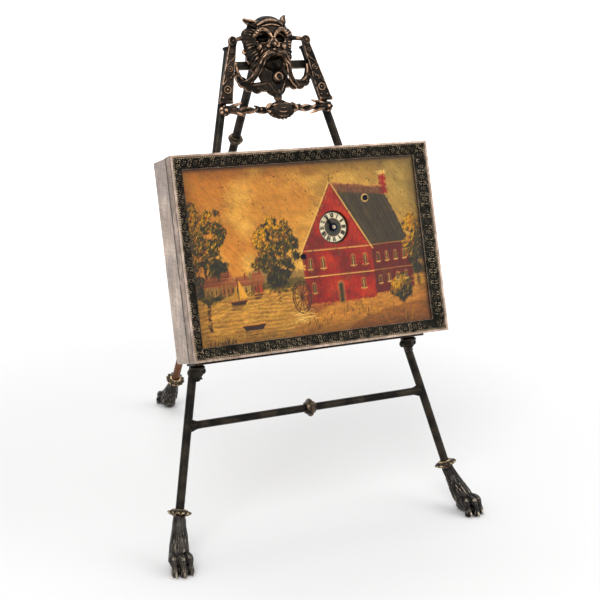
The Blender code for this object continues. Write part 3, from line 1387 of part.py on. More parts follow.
def hands(dial):
    hand(
        "hour_hand", HOUR_HAND_LENGTH, HOUR_HAND_WIDTH, HOUR_HAND_HUB, HOUR_PIPE_RADIUS + RUNNING,
        HOUR_HAND_AT, HOUR_TURN, dial,
    )
    hand(
        "minute_hand", MINUTE_HAND_LENGTH, MINUTE_HAND_WIDTH, MINUTE_HAND_HUB, CANNON_RADIUS + RUNNING,
        MINUTE_HAND_AT, MINUTE_TURN, dial,
    )


def set_knob(dial):
    """The knurled knob on the centre arbor that sets the hands."""
    outline = []
    for i in range(SET_KNOB_TEETH * 2):
        radius = SET_KNOB_RADIUS - (i % 2) * SET_KNOB_GROOVE
        outline.append(polar(radius, math.pi * i / SET_KNOB_TEETH).xy)
    sheet(
        "set_knob", [outline, circle(ARBOR_RADIUS + RUNNING)], SET_KNOB_AT, SET_KNOB_AT + SET_KNOB_LENGTH,
        dial, "brass",
    )


def clock_case(plane):
    case = new_empty("clock_case", plane, at(CASE_SHIFT, CASE_BOTTOM, CASE_BACK))
    dial = new_empty("dial_axis", case, at(DIAL_ACROSS, DIAL_UP, DIAL_OUT), (math.pi / 2, 0, 0))
    body = case_body(case)
    rear_cover(case, body)
    front_bezel(case)
    picture_panel(dial)
    movement_screws(dial)
    plates(dial)
    barrel_axis = new_empty("barrel_axis", dial, wheel_centres()["barrel"])
    barrel(barrel_axis)
    winding(barrel_axis)
    click(dial)
    going_train(dial)
    lever(dial)
    balance(dial)
    motion_work(dial)
    hands(dial)
    set_knob(dial)


def main():
    clear_scene()
    new_collection("easel_picture_clock")
    new_collection("cutters")
    ground = new_empty("ground", location=(0, -DEPTH_MIDDLE, 0))
    plane = new_empty("front_plane", ground, rotation=(-LEAN, 0, 0))
    front_leg("left_front_leg", -1, plane)
    front_leg("right_front_leg", 1, plane)
    feet(plane, ground)
    stretcher(plane)
    ledge(plane)
    crest_mask(plane)
    crest_panel("left_crest_panel", -1, plane)
    crest_panel("right_crest_panel", 1, plane)
    crest_vine(plane)
    hinge(plane)
    rear_leg(ground)
    clock_case(plane)


if __name__ == "__main__":
    main()
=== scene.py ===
# %% [markdown]
# # Easel picture clock
#
# This notebook dresses the CAD model of a small framed picture with a clock dial in it. The clock
# leans on a folding bronze easel with lion's paws and a grotesque mask. The CAD model comes in as a
# fixed frame, in metres and with every piece in its place, so nothing of it is moved here.

# %% Load the frame
import math

import bpy
import numpy as np
from mathutils import Matrix, Vector


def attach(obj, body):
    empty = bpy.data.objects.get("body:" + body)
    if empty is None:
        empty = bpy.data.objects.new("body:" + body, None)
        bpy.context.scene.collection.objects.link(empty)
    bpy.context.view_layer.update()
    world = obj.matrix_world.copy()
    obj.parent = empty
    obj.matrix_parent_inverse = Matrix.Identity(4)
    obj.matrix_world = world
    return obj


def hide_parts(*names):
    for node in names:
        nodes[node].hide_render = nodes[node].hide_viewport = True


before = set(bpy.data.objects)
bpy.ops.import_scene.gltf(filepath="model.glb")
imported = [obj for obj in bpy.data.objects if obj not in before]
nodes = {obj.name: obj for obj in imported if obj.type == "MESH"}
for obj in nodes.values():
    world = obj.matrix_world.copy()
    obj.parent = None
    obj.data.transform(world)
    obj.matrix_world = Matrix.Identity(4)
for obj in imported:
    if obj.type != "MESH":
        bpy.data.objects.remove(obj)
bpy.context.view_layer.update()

# %% [markdown]
# ## The bench and the places of the pieces
#
# A piece is easier to model flat on a bench than leaning on an easel. So each one is made in
# millimetres on a bench whose X runs across the picture, Y up the easel's front plane and Z out to
# the viewer. A matrix then carries the finished mesh to its place: `TO_FRONT` for the easel's front
# plane, `TO_CASE` for the clock case, whose origin is the middle of its bottom edge at the back.

# %% Places
MM = 0.001
LEAN = math.radians(16.84)
FRONT_LINE = -0.1127
FOOT_HALF_SPREAD = 86.9
TOP_HALF_SPREAD = 22.9
LEG_TOP = 264.5
LEG_BOW = 1.2
STRETCHER_UP = 69.0
COLLAR_UP = 25.6
CASE_WIDTH = 150.0
CASE_HEIGHT = 104.6
CASE_BOTTOM = 101.6

GROUND = Matrix.Translation((0, FRONT_LINE, 0))
TO_MM = Matrix.Scale(MM, 4)
TO_FRONT = GROUND @ Matrix.Rotation(math.pi / 2 - LEAN, 4, "X") @ TO_MM
TO_CASE = TO_FRONT @ Matrix.Translation((1.1, CASE_BOTTOM, 2.6))


def leg_across(up):
    """How far the middle of a front leg is from the middle of the easel at a height."""
    share = up / LEG_TOP
    bow = LEG_BOW * math.sin(math.pi * share)
    return FOOT_HALF_SPREAD + (TOP_HALF_SPREAD - FOOT_HALF_SPREAD) * share + bow


print("case corner:", TO_CASE @ Vector((-CASE_WIDTH / 2, 0, 0)))

# %% [markdown]
# ## The camera
#
# The photograph looks at the clock from the left and from a little above, with a longish lens, and
# was held very slightly tilted. The angles come from matching the corners of the case and the feet
# with the picture. The camera comes early, so that every later step can be looked at.

# %% Camera
YAW = math.radians(27.0)
PITCH = math.radians(14.69)
ROLL = math.radians(0.755)
CAMERA_AT = (-0.3143, -0.6964, 0.3045)
LENS = 79.65

forward = Vector((math.sin(YAW) * math.cos(PITCH), math.cos(YAW) * math.cos(PITCH), -math.sin(PITCH)))
right = Vector((math.cos(YAW), -math.sin(YAW), 0))
upward = right.cross(forward)
camera_x = right * math.cos(ROLL) + upward * math.sin(ROLL)
camera_y = -right * math.sin(ROLL) + upward * math.cos(ROLL)

bpy.ops.object.camera_add()
camera = bpy.context.object
camera.name = "photo_camera"
camera.data.lens = LENS
camera.data.sensor_width = 36
camera.data.clip_start = 0.01
camera_turn = Matrix((camera_x, camera_y, -forward)).transposed().to_4x4()
camera.matrix_world = Matrix.Translation(CAMERA_AT) @ camera_turn
bpy.context.scene.camera = camera
print("camera at", camera.location)

# %% [markdown]
# ## Helpers for work by hand
#
# Blender's operators act on whatever is selected, and the imported CAD nodes are all selected. So
# `deselect` comes first each time. `lumps` and `strands` are the sculptor's two gestures, pellets of
# wax and rolled strings of wax, and `fuse` melts what was laid together into one skin with a voxel
# remesh. `set_down` carries a finished piece from the bench to its place and lets it ride.

# %% Selecting, editing and finishing
def deselect():
    if bpy.context.object and bpy.context.object.mode == "EDIT":
        bpy.ops.object.mode_set(mode="OBJECT")
    bpy.ops.object.select_all(action="DESELECT")


def select_only(*pieces):
    deselect()
    for piece in pieces:
        piece.select_set(True)
    bpy.context.view_layer.objects.active = pieces[0]


def edit_all(piece):
    """Opens a piece in edit mode with all of its mesh selected."""
    select_only(piece)
    bpy.ops.object.mode_set(mode="EDIT")
    bpy.ops.mesh.select_all(action="SELECT")


def end_edit(outwards=True):
    """Turns the selected faces outwards, if wanted, and leaves edit mode."""
    if outwards:
        bpy.ops.mesh.normals_make_consistent(inside=False)
    bpy.ops.object.mode_set(mode="OBJECT")


def new_piece(name, points, edges, faces):
    mesh = bpy.data.meshes.new(name)
    mesh.from_pydata(points, edges, faces)
    piece = bpy.data.objects.new(name, mesh)
    bpy.context.scene.collection.objects.link(piece)
    return piece


def apply_modifier(piece, kind, **settings):
    modifier = piece.modifiers.new(kind.lower(), kind)
    for name, value in settings.items():
        setattr(modifier, name, value)
    select_only(piece)
    bpy.ops.object.modifier_apply(modifier=modifier.name)


def shade(piece, degrees):
    select_only(piece)
    bpy.ops.object.shade_smooth_by_angle(angle=math.radians(degrees))


def points_of(piece):
    """The piece's points as a numpy table of x, y, z."""
    table = np.empty(len(piece.data.vertices) * 3)
    piece.data.vertices.foreach_get("co", table)
    return table.reshape(-1, 3)


def store(piece, name, values):
    """Keeps one number for each point, for the materials to read."""
    piece.data.attributes.new(name, "FLOAT", "POINT").data.foreach_set("value", np.clip(values, 0, 1))


FINE_AND_COARSE = ((16, 0.30), (84, 0.80))


def mark_relief(piece):
    """Stores how far each point stands out of its surroundings: 1 on a crest, 0 in a hollow."""
    mesh = piece.data
    count = len(mesh.vertices)
    spots = points_of(piece)
    normals = np.empty(count * 3)
    mesh.vertices.foreach_get("normal", normals)
    pairs = np.empty(len(mesh.edges) * 2, dtype=int)
    mesh.edges.foreach_get("vertices", pairs)
    first, second = pairs.reshape(-1, 2).T
    neighbours = np.bincount(pairs, minlength=count)
    calm = spots.copy()
    stands = np.zeros(count)
    for rounds, height in FINE_AND_COARSE:
        for _ in range(rounds):
            for axis in range(3):
                total = np.bincount(first, calm[second, axis], count)
                total += np.bincount(second, calm[first, axis], count)
                calm[:, axis] = (calm[:, axis] + total / neighbours) / 2
        stands += ((spots - calm) * normals.reshape(-1, 3)).sum(axis=1) / height
    cut_faces = [face.vertices for face in mesh.polygons if len(face.vertices) > 8]
    stands[[corner for corners in cut_faces for corner in corners]] = 0
    store(piece, "relief", 0.5 + stands / 4)


def set_down(piece, name, body, place, finish, slot, *replaced):
    """Names a piece, carries its mesh from the bench to its place, and lets it ride."""
    piece.name = name
    mark_relief(piece)
    piece.matrix_world = place @ piece.matrix_world
    select_only(piece)
    bpy.ops.object.transform_apply(location=True, rotation=True, scale=True)
    piece.data.materials.clear()
    piece.data.materials.append(finish)
    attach(piece, body)
    if replaced:
        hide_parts(*replaced)
    print(name, len(piece.data.polygons), "faces")
    return piece


# %% Wax pellets and wax strings
def pellet(at, half_sizes):
    bpy.ops.mesh.primitive_uv_sphere_add(segments=20, ring_count=10, radius=1, location=at, scale=half_sizes)


def lumps(rows):
    """A new mesh of pellets, each row a middle and three half sizes."""
    deselect()
    pellet(*rows[0])
    wax = bpy.context.object
    bpy.ops.object.transform_apply(location=True, rotation=True, scale=True)
    bpy.ops.object.mode_set(mode="EDIT")
    for row in rows[1:]:
        pellet(*row)
    bpy.ops.object.mode_set(mode="OBJECT")
    return wax


def strands(rows, roundness=3):
    """Rolled strings: each row is a list of (x, y, z, radius), smoothed into one curve."""
    deselect()
    bpy.ops.curve.primitive_nurbs_path_add()
    strings = bpy.context.object
    curve = strings.data
    curve.splines.clear()
    curve.bevel_depth = 1.0
    curve.bevel_resolution = roundness
    curve.use_fill_caps = True
    for row in rows:
        spline = curve.splines.new("NURBS")
        spline.points.add(len(row) - 1)
        for point, (x, y, z, radius) in zip(spline.points, row):
            point.co = (x, y, z, 1)
            point.radius = radius
        spline.order_u = min(3, len(row))
        spline.use_endpoint_u = True
        spline.resolution_u = 6
    select_only(strings)
    bpy.ops.object.convert(target="MESH")
    return bpy.context.object


def melt(piece, grain, smooth):
    """Runs a piece together with a voxel remesh and smooths the steps away."""
    apply_modifier(piece, "REMESH", mode="VOXEL", voxel_size=grain)
    apply_modifier(piece, "SMOOTH", factor=0.5, iterations=smooth)


def fuse(pieces, grain, smooth=1):
    select_only(*pieces)
    bpy.ops.object.join()
    wax = bpy.context.object
    melt(wax, grain, smooth)
    return wax


def slice_off(piece, through, normal):
    """Cuts away what lies on the normal's side of a plane and closes the cut."""
    edit_all(piece)
    bpy.ops.mesh.bisect(plane_co=through, plane_no=normal, use_fill=True, clear_outer=True, threshold=0.00001)
    end_edit(outwards=False)


def flat_back(piece, out):
    """Cuts a piece off where it meets what it lies on."""
    slice_off(piece, (0, 0, out), (0, 0, -1))


def press(piece, hollows, floor):
    """Thumbs hollows into the front: each is x, y, two half sizes and a depth; floor stays."""
    spots = points_of(piece)
    for x, y, wide, high, depth in hollows:
        near = np.clip(1 - ((spots[:, 0] - x) / wide) ** 2 - ((spots[:, 1] - y) / high) ** 2, 0, 1)
        share = near * near * (3 - 2 * near)
        spots[:, 2] -= share * depth * np.clip((spots[:, 2] - floor) / 2, 0, 1)
    piece.data.vertices.foreach_set("co", spots.reshape(-1))


# %% [markdown]
# ## Old metal, as shader groups
#
# The easel is cast bronze with a nearly black patina, rubbed through to copper and gold on its high
# places. The same things happen to every metal here: edges and crests wear bright, hollows keep
# dirt, and cast skin is pitted. Each effect is therefore one node group with named sockets, built
# once and set differently in each material.

# %% Node helpers
def rgba(red, green, blue):
    return (red, green, blue, 1.0)


class Bench:
    """Short words for adding and wiring nodes in one tree."""

    def __init__(self, tree):
        self.tree = tree

    def feed(self, socket, value):
        if isinstance(value, bpy.types.NodeSocket):
            self.tree.links.new(value, socket)
        else:
            socket.default_value = value

    def add(self, kind, inputs=None, out=0, **settings):
        """Adds a node, feeds its inputs by name or number, and gives one of its outputs."""
        made = self.tree.nodes.new("ShaderNode" + kind)
        for name, value in settings.items():
            setattr(made, name, value)
        for socket, value in (inputs or {}).items():
            self.feed(made.inputs[socket], value)
        return made.outputs[out]

    def math(self, operation, a, b):
        return self.add("Math", {0: a, 1: b}, operation=operation)

    def times(self, a, b):
        return self.math("MULTIPLY", a, b)

    def ramp(self, value, low, high):
        """Runs from 0 at low to 1 at high, smoothly."""
        inputs = {"Value": value, "From Min": low, "From Max": high}
        return self.add("MapRange", inputs, "Result", interpolation_type="SMOOTHSTEP")

    def mix(self, share, first, second):
        return self.add("Mix", {0: share, 6: first, 7: second}, 2, data_type="RGBA")

    def noise(self, at, scale, detail=4.0, roughness=0.55):
        return self.add("TexNoise", {"Vector": at, "Scale": scale, "Detail": detail, "Roughness": roughness})

    def stretched(self, at, scale, turn):
        return self.add("Mapping", {"Vector": at, "Rotation": turn, "Scale": scale})

    def bump(self, height, distance):
        return self.add("Bump", {"Height": height, "Distance": distance})


def new_group(name, inputs, outputs):
    """A shader group of plain numbers: the group, its bench, its two ends and object coordinates."""
    group = bpy.data.node_groups.new(name, "ShaderNodeTree")
    for socket, value in inputs.items():
        made = group.interface.new_socket(name=socket, in_out="INPUT", socket_type="NodeSocketFloat")
        made.default_value = value
    for socket in outputs:
        group.interface.new_socket(name=socket, in_out="OUTPUT", socket_type="NodeSocketFloat")
    bench = Bench(group)
    given = group.nodes.new("NodeGroupInput").outputs
    results = group.nodes.new("NodeGroupOutput").inputs
    print("group:", name)
    return group, bench, given, results, bench.add("TexCoord", out="Object")


# %% [markdown]
# **Rubbed edges.** The Bevel node gives the normal that a rounded edge would have. Where it differs
# from the true normal there is an edge within its radius, on coarse CAD solids as well as on fine
# sculpture. Noise breaks the line up, because no edge wears evenly. The sculpted pieces add their
# crests and hollows from the relief value that each of their points keeps.

# %% Group: rubbed edges
RUBBED, bench, given, results, where = new_group(
    "rubbed_edges", {"Radius": 0.0006, "Crests": 1.0, "Patches": 400.0}, ("Edges", "Hollows"),
)
relief = bench.add("Attribute", out="Fac", attribute_name="relief")
rounded = bench.add("Bevel", {"Radius": given["Radius"]}, samples=6)
agreement = bench.add("VectorMath", {0: rounded, 1: bench.add("NewGeometry", out="Normal")}, "Value",
                      operation="DOT_PRODUCT")
edge = bench.ramp(agreement, 0.965, 0.78)
crest = bench.times(bench.ramp(relief, 0.60, 0.88), given["Crests"])
patches = bench.ramp(bench.noise(where, given["Patches"], 5.0), 0.36, 0.60)
bright = bench.math("MAXIMUM", edge, crest)
worn = bench.add("Math", {0: bright, 1: patches}, operation="MULTIPLY", use_clamp=True)
bench.feed(results["Edges"], worn)
bench.feed(results["Hollows"], bench.times(bench.ramp(relief, 0.46, 0.18), given["Crests"]))

# %% [markdown]
# **Cast skin.** Sand casting leaves a skin with soft undulations and small pits. One group makes
# both, and puts out a height for a Bump node and a mask that tints the pits.

# %% Group: cast skin
SKIN, bench, given, results, where = new_group(
    "cast_skin", {"Scale": 900.0, "Pits": 0.5}, ("Height", "Pit mask", "Cloud"),
)
waves = bench.noise(where, given["Scale"], 3.0)
cells = bench.add("TexVoronoi", {"Vector": where, "Scale": bench.times(given["Scale"], 0.9)}, "Distance",
                  feature="SMOOTH_F1")
sparse = bench.ramp(bench.noise(where, bench.times(given["Scale"], 0.35), 2.0), 0.45, 0.62)
pit = bench.times(bench.times(bench.ramp(cells, 0.28, 0.05), given["Pits"]), sparse)
bench.feed(results["Pit mask"], pit)
bench.feed(results["Height"], bench.math("SUBTRACT", waves, pit))
bench.feed(results["Cloud"], bench.noise(where, bench.times(given["Scale"], 0.12)))

# %% [markdown]
# **Brushed streaks.** The case was rubbed down with grit, mostly up and down and here and there
# slantwise. Two noises, each drawn out in one direction, give the scratches.

# %% Group: brushed streaks
BRUSHING, bench, given, results, where = new_group("brushed_streaks", {"Scale": 1200.0}, ("Streaks", "Stain"))
upright = bench.noise(bench.stretched(where, (1.0, 1.0, 0.05), (-0.29, 0.0, 0.0)), given["Scale"], 3.0)
slanting = bench.noise(bench.stretched(where, (1.0, 0.12, 1.0), (0.6, 0.0, 0.3)), given["Scale"], 3.0)
bench.feed(results["Streaks"], bench.math("ADD", bench.times(upright, 0.6), bench.times(slanting, 0.4)))
bench.feed(results["Stain"], bench.ramp(bench.noise(where, bench.times(given["Scale"], 0.03)), 0.46, 0.66))

# %% [markdown]
# **Dirty seams.** Where the case's parts meet, polish and dust have dried to a dark line. The group
# turns the place of each point back into the case's own frame, in millimetres, and darkens a narrow
# band at one depth from the back.

# %% Group: dirty seam
SEAM, bench, given, results, where = new_group("dirty_seam", {"Depth": 18.0, "Half width": 0.4}, ("Dirt",))
in_case = bench.add("Mapping", {
    "Vector": where, "Location": TO_CASE.to_translation(), "Rotation": TO_CASE.to_euler(),
    "Scale": (MM, MM, MM),
}, vector_type="TEXTURE")
depth = bench.add("SeparateXYZ", {0: in_case}, "Z")
wavy = bench.times(bench.math("SUBTRACT", bench.noise(where, 500.0, 3.0), 0.5), 0.5)
off = bench.math("SUBTRACT", bench.math("ADD", depth, wavy), given["Depth"])
share = bench.math("DIVIDE", bench.add("Math", {0: off}, operation="ABSOLUTE"), given["Half width"])
broken = bench.ramp(bench.noise(where, 220.0, 3.0), 0.22, 0.50)
bench.feed(results["Dirt"], bench.times(bench.ramp(share, 1.3, 0.5), broken))

# %% [markdown]
# ## The finishes
#
# Each material mixes a dark and a lighter patina by a slow noise, lays worn metal on the edges and
# dirt in the hollows, and lets the cast skin drive roughness and bump. Only the numbers differ
# between the black easel, the redder lower leg, the gilt collars and the rest.

# %% Patinated metals
PIT_BLACK = rgba(0.004, 0.004, 0.004)
HOLLOW_BLACK = rgba(0.003, 0.003, 0.002)
STREAK_BROWN = rgba(0.12, 0.10, 0.09)
SEAM_BROWN = rgba(0.020, 0.014, 0.010)


def new_material(name):
    made = bpy.data.materials.new(name)
    made.use_nodes = True
    return made, Bench(made.node_tree), made.node_tree.nodes["Principled BSDF"].inputs


def place_group(bench, group, **values):
    """Adds a group and gives its outputs; the values are named as its sockets are."""
    inputs = {name.replace("_", " ").capitalize(): value for name, value in values.items()}
    return bench.add("Group", inputs, node_tree=group).node.outputs


def patinated(name, dark, light, worn, wear=0.8, radius=0.0005, crests=1.0, patches=400.0, scale=900.0,
              pits=0.5, bump=0.00006, roughness=0.42, metallic=0.85, reddened=None, stained=None, seams=()):
    made, bench, shader = new_material(name)
    edges = place_group(bench, RUBBED, radius=radius, crests=crests, patches=patches)
    cast = place_group(bench, SKIN, scale=scale, pits=pits)
    cloud = bench.ramp(cast["Cloud"], 0.38, 0.64)
    colour = bench.mix(cloud, rgba(*dark), rgba(*light))
    if reddened:
        red = bench.mix(cloud, rgba(*reddened[0]), rgba(*reddened[1]))
        colour = bench.mix(bench.add("Attribute", out="Fac", attribute_name="reddened"), colour, red)
    height = cast["Height"]
    if stained:
        brushed = place_group(bench, BRUSHING, scale=1300.0)
        colour = bench.mix(bench.times(brushed["Stain"], 0.45), colour, rgba(*stained))
        streaks = bench.ramp(brushed["Streaks"], 0.54, 0.40)
        colour = bench.mix(bench.times(streaks, 0.45), colour, STREAK_BROWN)
        height = bench.math("ADD", bench.times(height, 0.4), brushed["Streaks"])
    colour = bench.mix(bench.times(cast["Pit mask"], 0.7), colour, PIT_BLACK)
    colour = bench.mix(bench.times(edges["Hollows"], 0.8), colour, HOLLOW_BLACK)
    worn_share = bench.times(edges["Edges"], wear)
    colour = bench.mix(worn_share, colour, rgba(*worn))
    for depth, half_width in seams:
        dirt = place_group(bench, SEAM, depth=depth, half_width=half_width)["Dirt"]
        colour = bench.mix(bench.times(dirt, 0.94), colour, SEAM_BROWN)
        metallic = bench.times(bench.math("SUBTRACT", 1.0, dirt), metallic)
    rough = bench.math("ADD", roughness - 0.08, bench.times(height, 0.18))
    rough = bench.math("SUBTRACT", rough, bench.times(worn_share, 0.10))
    bench.feed(shader["Metallic"], metallic)
    bench.feed(shader["Base Color"], colour)
    bench.feed(shader["Roughness"], rough)
    bench.feed(shader["Normal"], bench.bump(height, bump))
    return made


# %% The metals of the easel
BLACK_BROWN = (0.008, 0.007, 0.006)
WARM_BROWN = (0.034, 0.026, 0.018)
COPPER_GOLD = (0.70, 0.40, 0.22)
ROUGH_CAST = {"crests": 0.0, "pits": 0.9, "bump": 0.00010}

bronze = patinated("patinated_bronze", BLACK_BROWN, WARM_BROWN, COPPER_GOLD, **ROUGH_CAST)
sculpted_bronze = patinated(
    "sculpted_bronze", (0.006, 0.005, 0.004), (0.030, 0.021, 0.014), (0.88, 0.53, 0.33), wear=1.0,
    radius=0.0004, patches=330.0, roughness=0.36,
)
reddened_bronze = patinated(
    "reddened_bronze", BLACK_BROWN, WARM_BROWN, COPPER_GOLD,
    reddened=((0.060, 0.024, 0.014), (0.19, 0.080, 0.040)), **ROUGH_CAST,
)
gilt_bronze = patinated(
    "gilt_bronze", (0.014, 0.011, 0.008), (0.055, 0.040, 0.025), (0.60, 0.44, 0.26), wear=0.9, roughness=0.38,
)
black_metal = patinated(
    "black_metal", (0.010, 0.009, 0.008), (0.028, 0.022, 0.017), (0.30, 0.19, 0.11), wear=0.7, crests=0.0,
    roughness=0.45,
)
knop_bronze = patinated(
    "knop_bronze", (0.010, 0.009, 0.007), (0.040, 0.031, 0.022), (0.42, 0.29, 0.18), wear=0.7, radius=0.0004,
    crests=0.4,
)
paw_bronze = patinated(
    "paw_bronze", (0.010, 0.009, 0.008), (0.044, 0.038, 0.032), (0.84, 0.70, 0.54), wear=1.0, radius=0.0004,
    patches=330.0, roughness=0.33,
)
print("metals of the easel:", len(bpy.data.materials))

# %% The metals of the clock
CASE_SEAM = (18.15, 0.95)
RIM_SEAM = (24.35, 0.50)
SMOOTH_METAL = {"crests": 0.0, "scale": 1600.0, "bump": 0.00001}

bezel_metal = patinated(
    "stamped_bezel", (0.005, 0.005, 0.003), (0.017, 0.015, 0.010), (0.80, 0.61, 0.39), wear=0.70,
    radius=0.0002, patches=240.0, roughness=0.36,
)
brass = patinated(
    "movement_brass", (0.46, 0.32, 0.12), (0.60, 0.43, 0.18), (0.86, 0.68, 0.36), wear=0.6, radius=0.0003,
    pits=0.1, roughness=0.34, metallic=1.0, **SMOOTH_METAL,
)
steel = patinated(
    "movement_steel", (0.28, 0.28, 0.28), (0.42, 0.42, 0.42), (0.75, 0.75, 0.76), wear=0.6, radius=0.0003,
    pits=0.2, roughness=0.32, metallic=1.0, **SMOOTH_METAL,
)
blued_steel = patinated(
    "blued_hand_steel", (0.003, 0.003, 0.007), (0.008, 0.008, 0.018), (0.12, 0.11, 0.17), wear=0.5,
    radius=0.0001, pits=0.1, roughness=0.30, **SMOOTH_METAL,
)
rim_metal = patinated(
    "rim_metal", (0.34, 0.24, 0.18), (0.66, 0.50, 0.40), (0.95, 0.80, 0.66), wear=0.95, radius=0.0006,
    crests=0.0, pits=0.9, bump=0.00005, roughness=0.34, stained=(0.30, 0.20, 0.14),
    seams=(CASE_SEAM, RIM_SEAM),
)
case_metal = patinated(
    "brushed_case", (0.55, 0.435, 0.36), (0.80, 0.645, 0.54), (0.98, 0.85, 0.72), wear=0.95, radius=0.0010,
    crests=0.0, scale=500.0, pits=0.4, bump=0.00004, stained=(0.31, 0.28, 0.285), seams=(CASE_SEAM,),
)
print("materials:", len(bpy.data.materials))

# %% [markdown]
# ## The mask
#
# The crest of the easel is a horned grotesque, of a kind that founders have put on ironwork for
# centuries: knotted brows, a drooping moustache over an open mouth, a boss for a chin and a beard
# that ends in a point. The founder's pattern was modelled in wax, so this one is too. Pellets make
# the skull, nose and cheeks, strings make brows, moustache and hair, and the voxel remesh runs
# them together as casting does. Its heights are measured up the easel from the table.

# %% Skull, nose and cheeks
FACE_MIDDLE = 0.3
FACE_BACK = 1.3


def mirrored(rows):
    """The rows, and the rows seen in a mirror that stands at the middle of the face."""
    return rows + [[(2 * FACE_MIDDLE - x, *rest) for x, *rest in row] for row in rows]


skull = lumps([
    ((0.2, 268.4, 2.2), (12.8, 11.6, 4.6)), ((0.4, 275.2, 2.9), (9.6, 7.0, 4.8)),
    ((0.1, 272.4, 4.6), (7.8, 4.6, 3.4)), ((0.2, 262.6, 4.0), (7.6, 4.6, 4.2)),
    ((0.9, 251.4, 1.9), (9.2, 9.4, 2.9)), ((1.3, 243.6, 2.1), (6.4, 5.6, 2.5)),
    ((1.9, 238.2, 2.6), (2.4, 3.6, 2.0)), ((1.9, 240.2, 4.3), (1.2, 1.9, 1.0)),
    ((-10.6, 271.8, 2.6), (5.0, 4.0, 3.0)), ((-11.2, 266.6, 2.5), (3.8, 5.2, 2.9)),
    ((-10.4, 260.6, 2.5), (3.6, 5.6, 2.8)), ((-9.2, 255.6, 2.4), (3.6, 4.6, 2.4)),
    ((10.6, 271.6, 2.6), (4.2, 4.0, 3.0)), ((10.6, 266.4, 2.5), (3.2, 5.2, 2.9)),
    ((9.6, 260.8, 2.5), (3.2, 5.6, 2.8)), ((8.8, 255.6, 2.4), (3.2, 4.6, 2.4)),
    ((-0.2, 265.2, 9.5), (1.5, 1.3, 1.5)), ((-2.5, 264.6, 8.2), (1.6, 1.2, 1.3)),
    ((2.4, 264.6, 8.2), (1.6, 1.2, 1.3)), ((-7.5, 264.8, 6.2), (1.9, 2.3, 1.9)),
    ((6.9, 264.6, 6.2), (1.9, 2.3, 1.9)),
    ((0.4, 262.6, 8.2), (0.9, 0.9, 0.8)), ((0.9, 254.0, 3.4), (2.0, 2.6, 1.3)),
    ((2.2, 248.2, 4.2), (3.7, 3.7, 3.0)),
    ((-9.4, 277.6, 3.8), (3.2, 1.7, 1.5)), ((9.6, 279.0, 3.8), (1.9, 2.6, 1.5)),
])
print("skull:", len(skull.data.polygons), "faces")

# %% Brows, moustache and beard
BROW = [(-9.9, 269.8, 6.2, 0.8), (-8.6, 272.3, 7.2, 1.25), (-5.2, 273.7, 8.0, 1.35), (-2.2, 272.2, 8.6, 1.25),
        (-0.1, 269.0, 8.9, 0.9)]
LID = [(-8.4, 267.6, 5.9, 0.4), (-6.4, 266.6, 6.3, 0.45), (-3.6, 266.8, 6.7, 0.45)]
NOSE_SIDE = [(0.2, 269.6, 8.6, 0.8), (-0.4, 267.4, 9.0, 0.9), (-2.8, 264.7, 8.4, 1.0)]
CHEEK_LINE = [(-5.6, 265.6, 6.6, 0.4), (-5.2, 263.0, 7.2, 0.45), (-7.4, 260.2, 6.6, 0.4)]
LEFT_MOUSTACHE = [
    (0.3, 260.2, 8.7, 1.1), (-2.6, 261.0, 9.1, 1.55), (-5.8, 259.2, 8.9, 1.75), (-8.2, 256.2, 8.0, 1.65),
    (-10.0, 252.2, 6.6, 1.5), (-12.4, 248.4, 5.0, 1.3), (-15.6, 246.1, 3.8, 0.85), (-18.0, 246.4, 3.4, 0.45),
]
RIGHT_MOUSTACHE = [
    (0.3, 260.2, 8.7, 1.1), (3.4, 261.2, 9.1, 1.55), (6.0, 259.6, 8.9, 1.75), (7.6, 256.6, 8.2, 1.65),
    (8.4, 252.6, 7.2, 1.45), (9.4, 248.6, 5.8, 1.3), (11.6, 245.6, 4.6, 1.0), (14.4, 243.0, 3.6, 0.5),
]
strings = mirrored([BROW, LID, NOSE_SIDE, CHEEK_LINE])
for band, side in ((LEFT_MOUSTACHE, -1), (RIGHT_MOUSTACHE, 1)):
    strings.append(band)
    strings.append([(x - 1.0 * side * min(1, k / 3), y - 0.9 * r, z + 0.35 * r, 0.5)
                    for k, (x, y, z, r) in enumerate(band)])
    strings.append([(x + 0.7 * side, y + 0.55 * r, z + 0.6 * r, 0.36) for x, y, z, r in band[1:]])
for k in (-2, -1, 0, 1, 2):
    strings.append([(1.5 + 2.3 * k, 246.0 - 0.4 * abs(k), 4.0, 0.5), (1.6 + 1.7 * k, 242.8, 4.3, 0.6),
                    (1.9 + 0.5 * k, 239.0, 3.9, 0.4)])
strings += [
    [(-7.4, 276.0, 6.6, 0.7), (-3.4, 278.4, 7.4, 1.0), (3.6, 278.6, 7.4, 1.0), (8.0, 276.4, 6.6, 0.7)],
    [(-8.0, 274.4, 6.8, 0.4), (-2.6, 276.2, 8.0, 0.5), (3.2, 276.2, 8.0, 0.5), (8.2, 274.4, 6.8, 0.4)],
]
print("strings for the face:", len(strings))

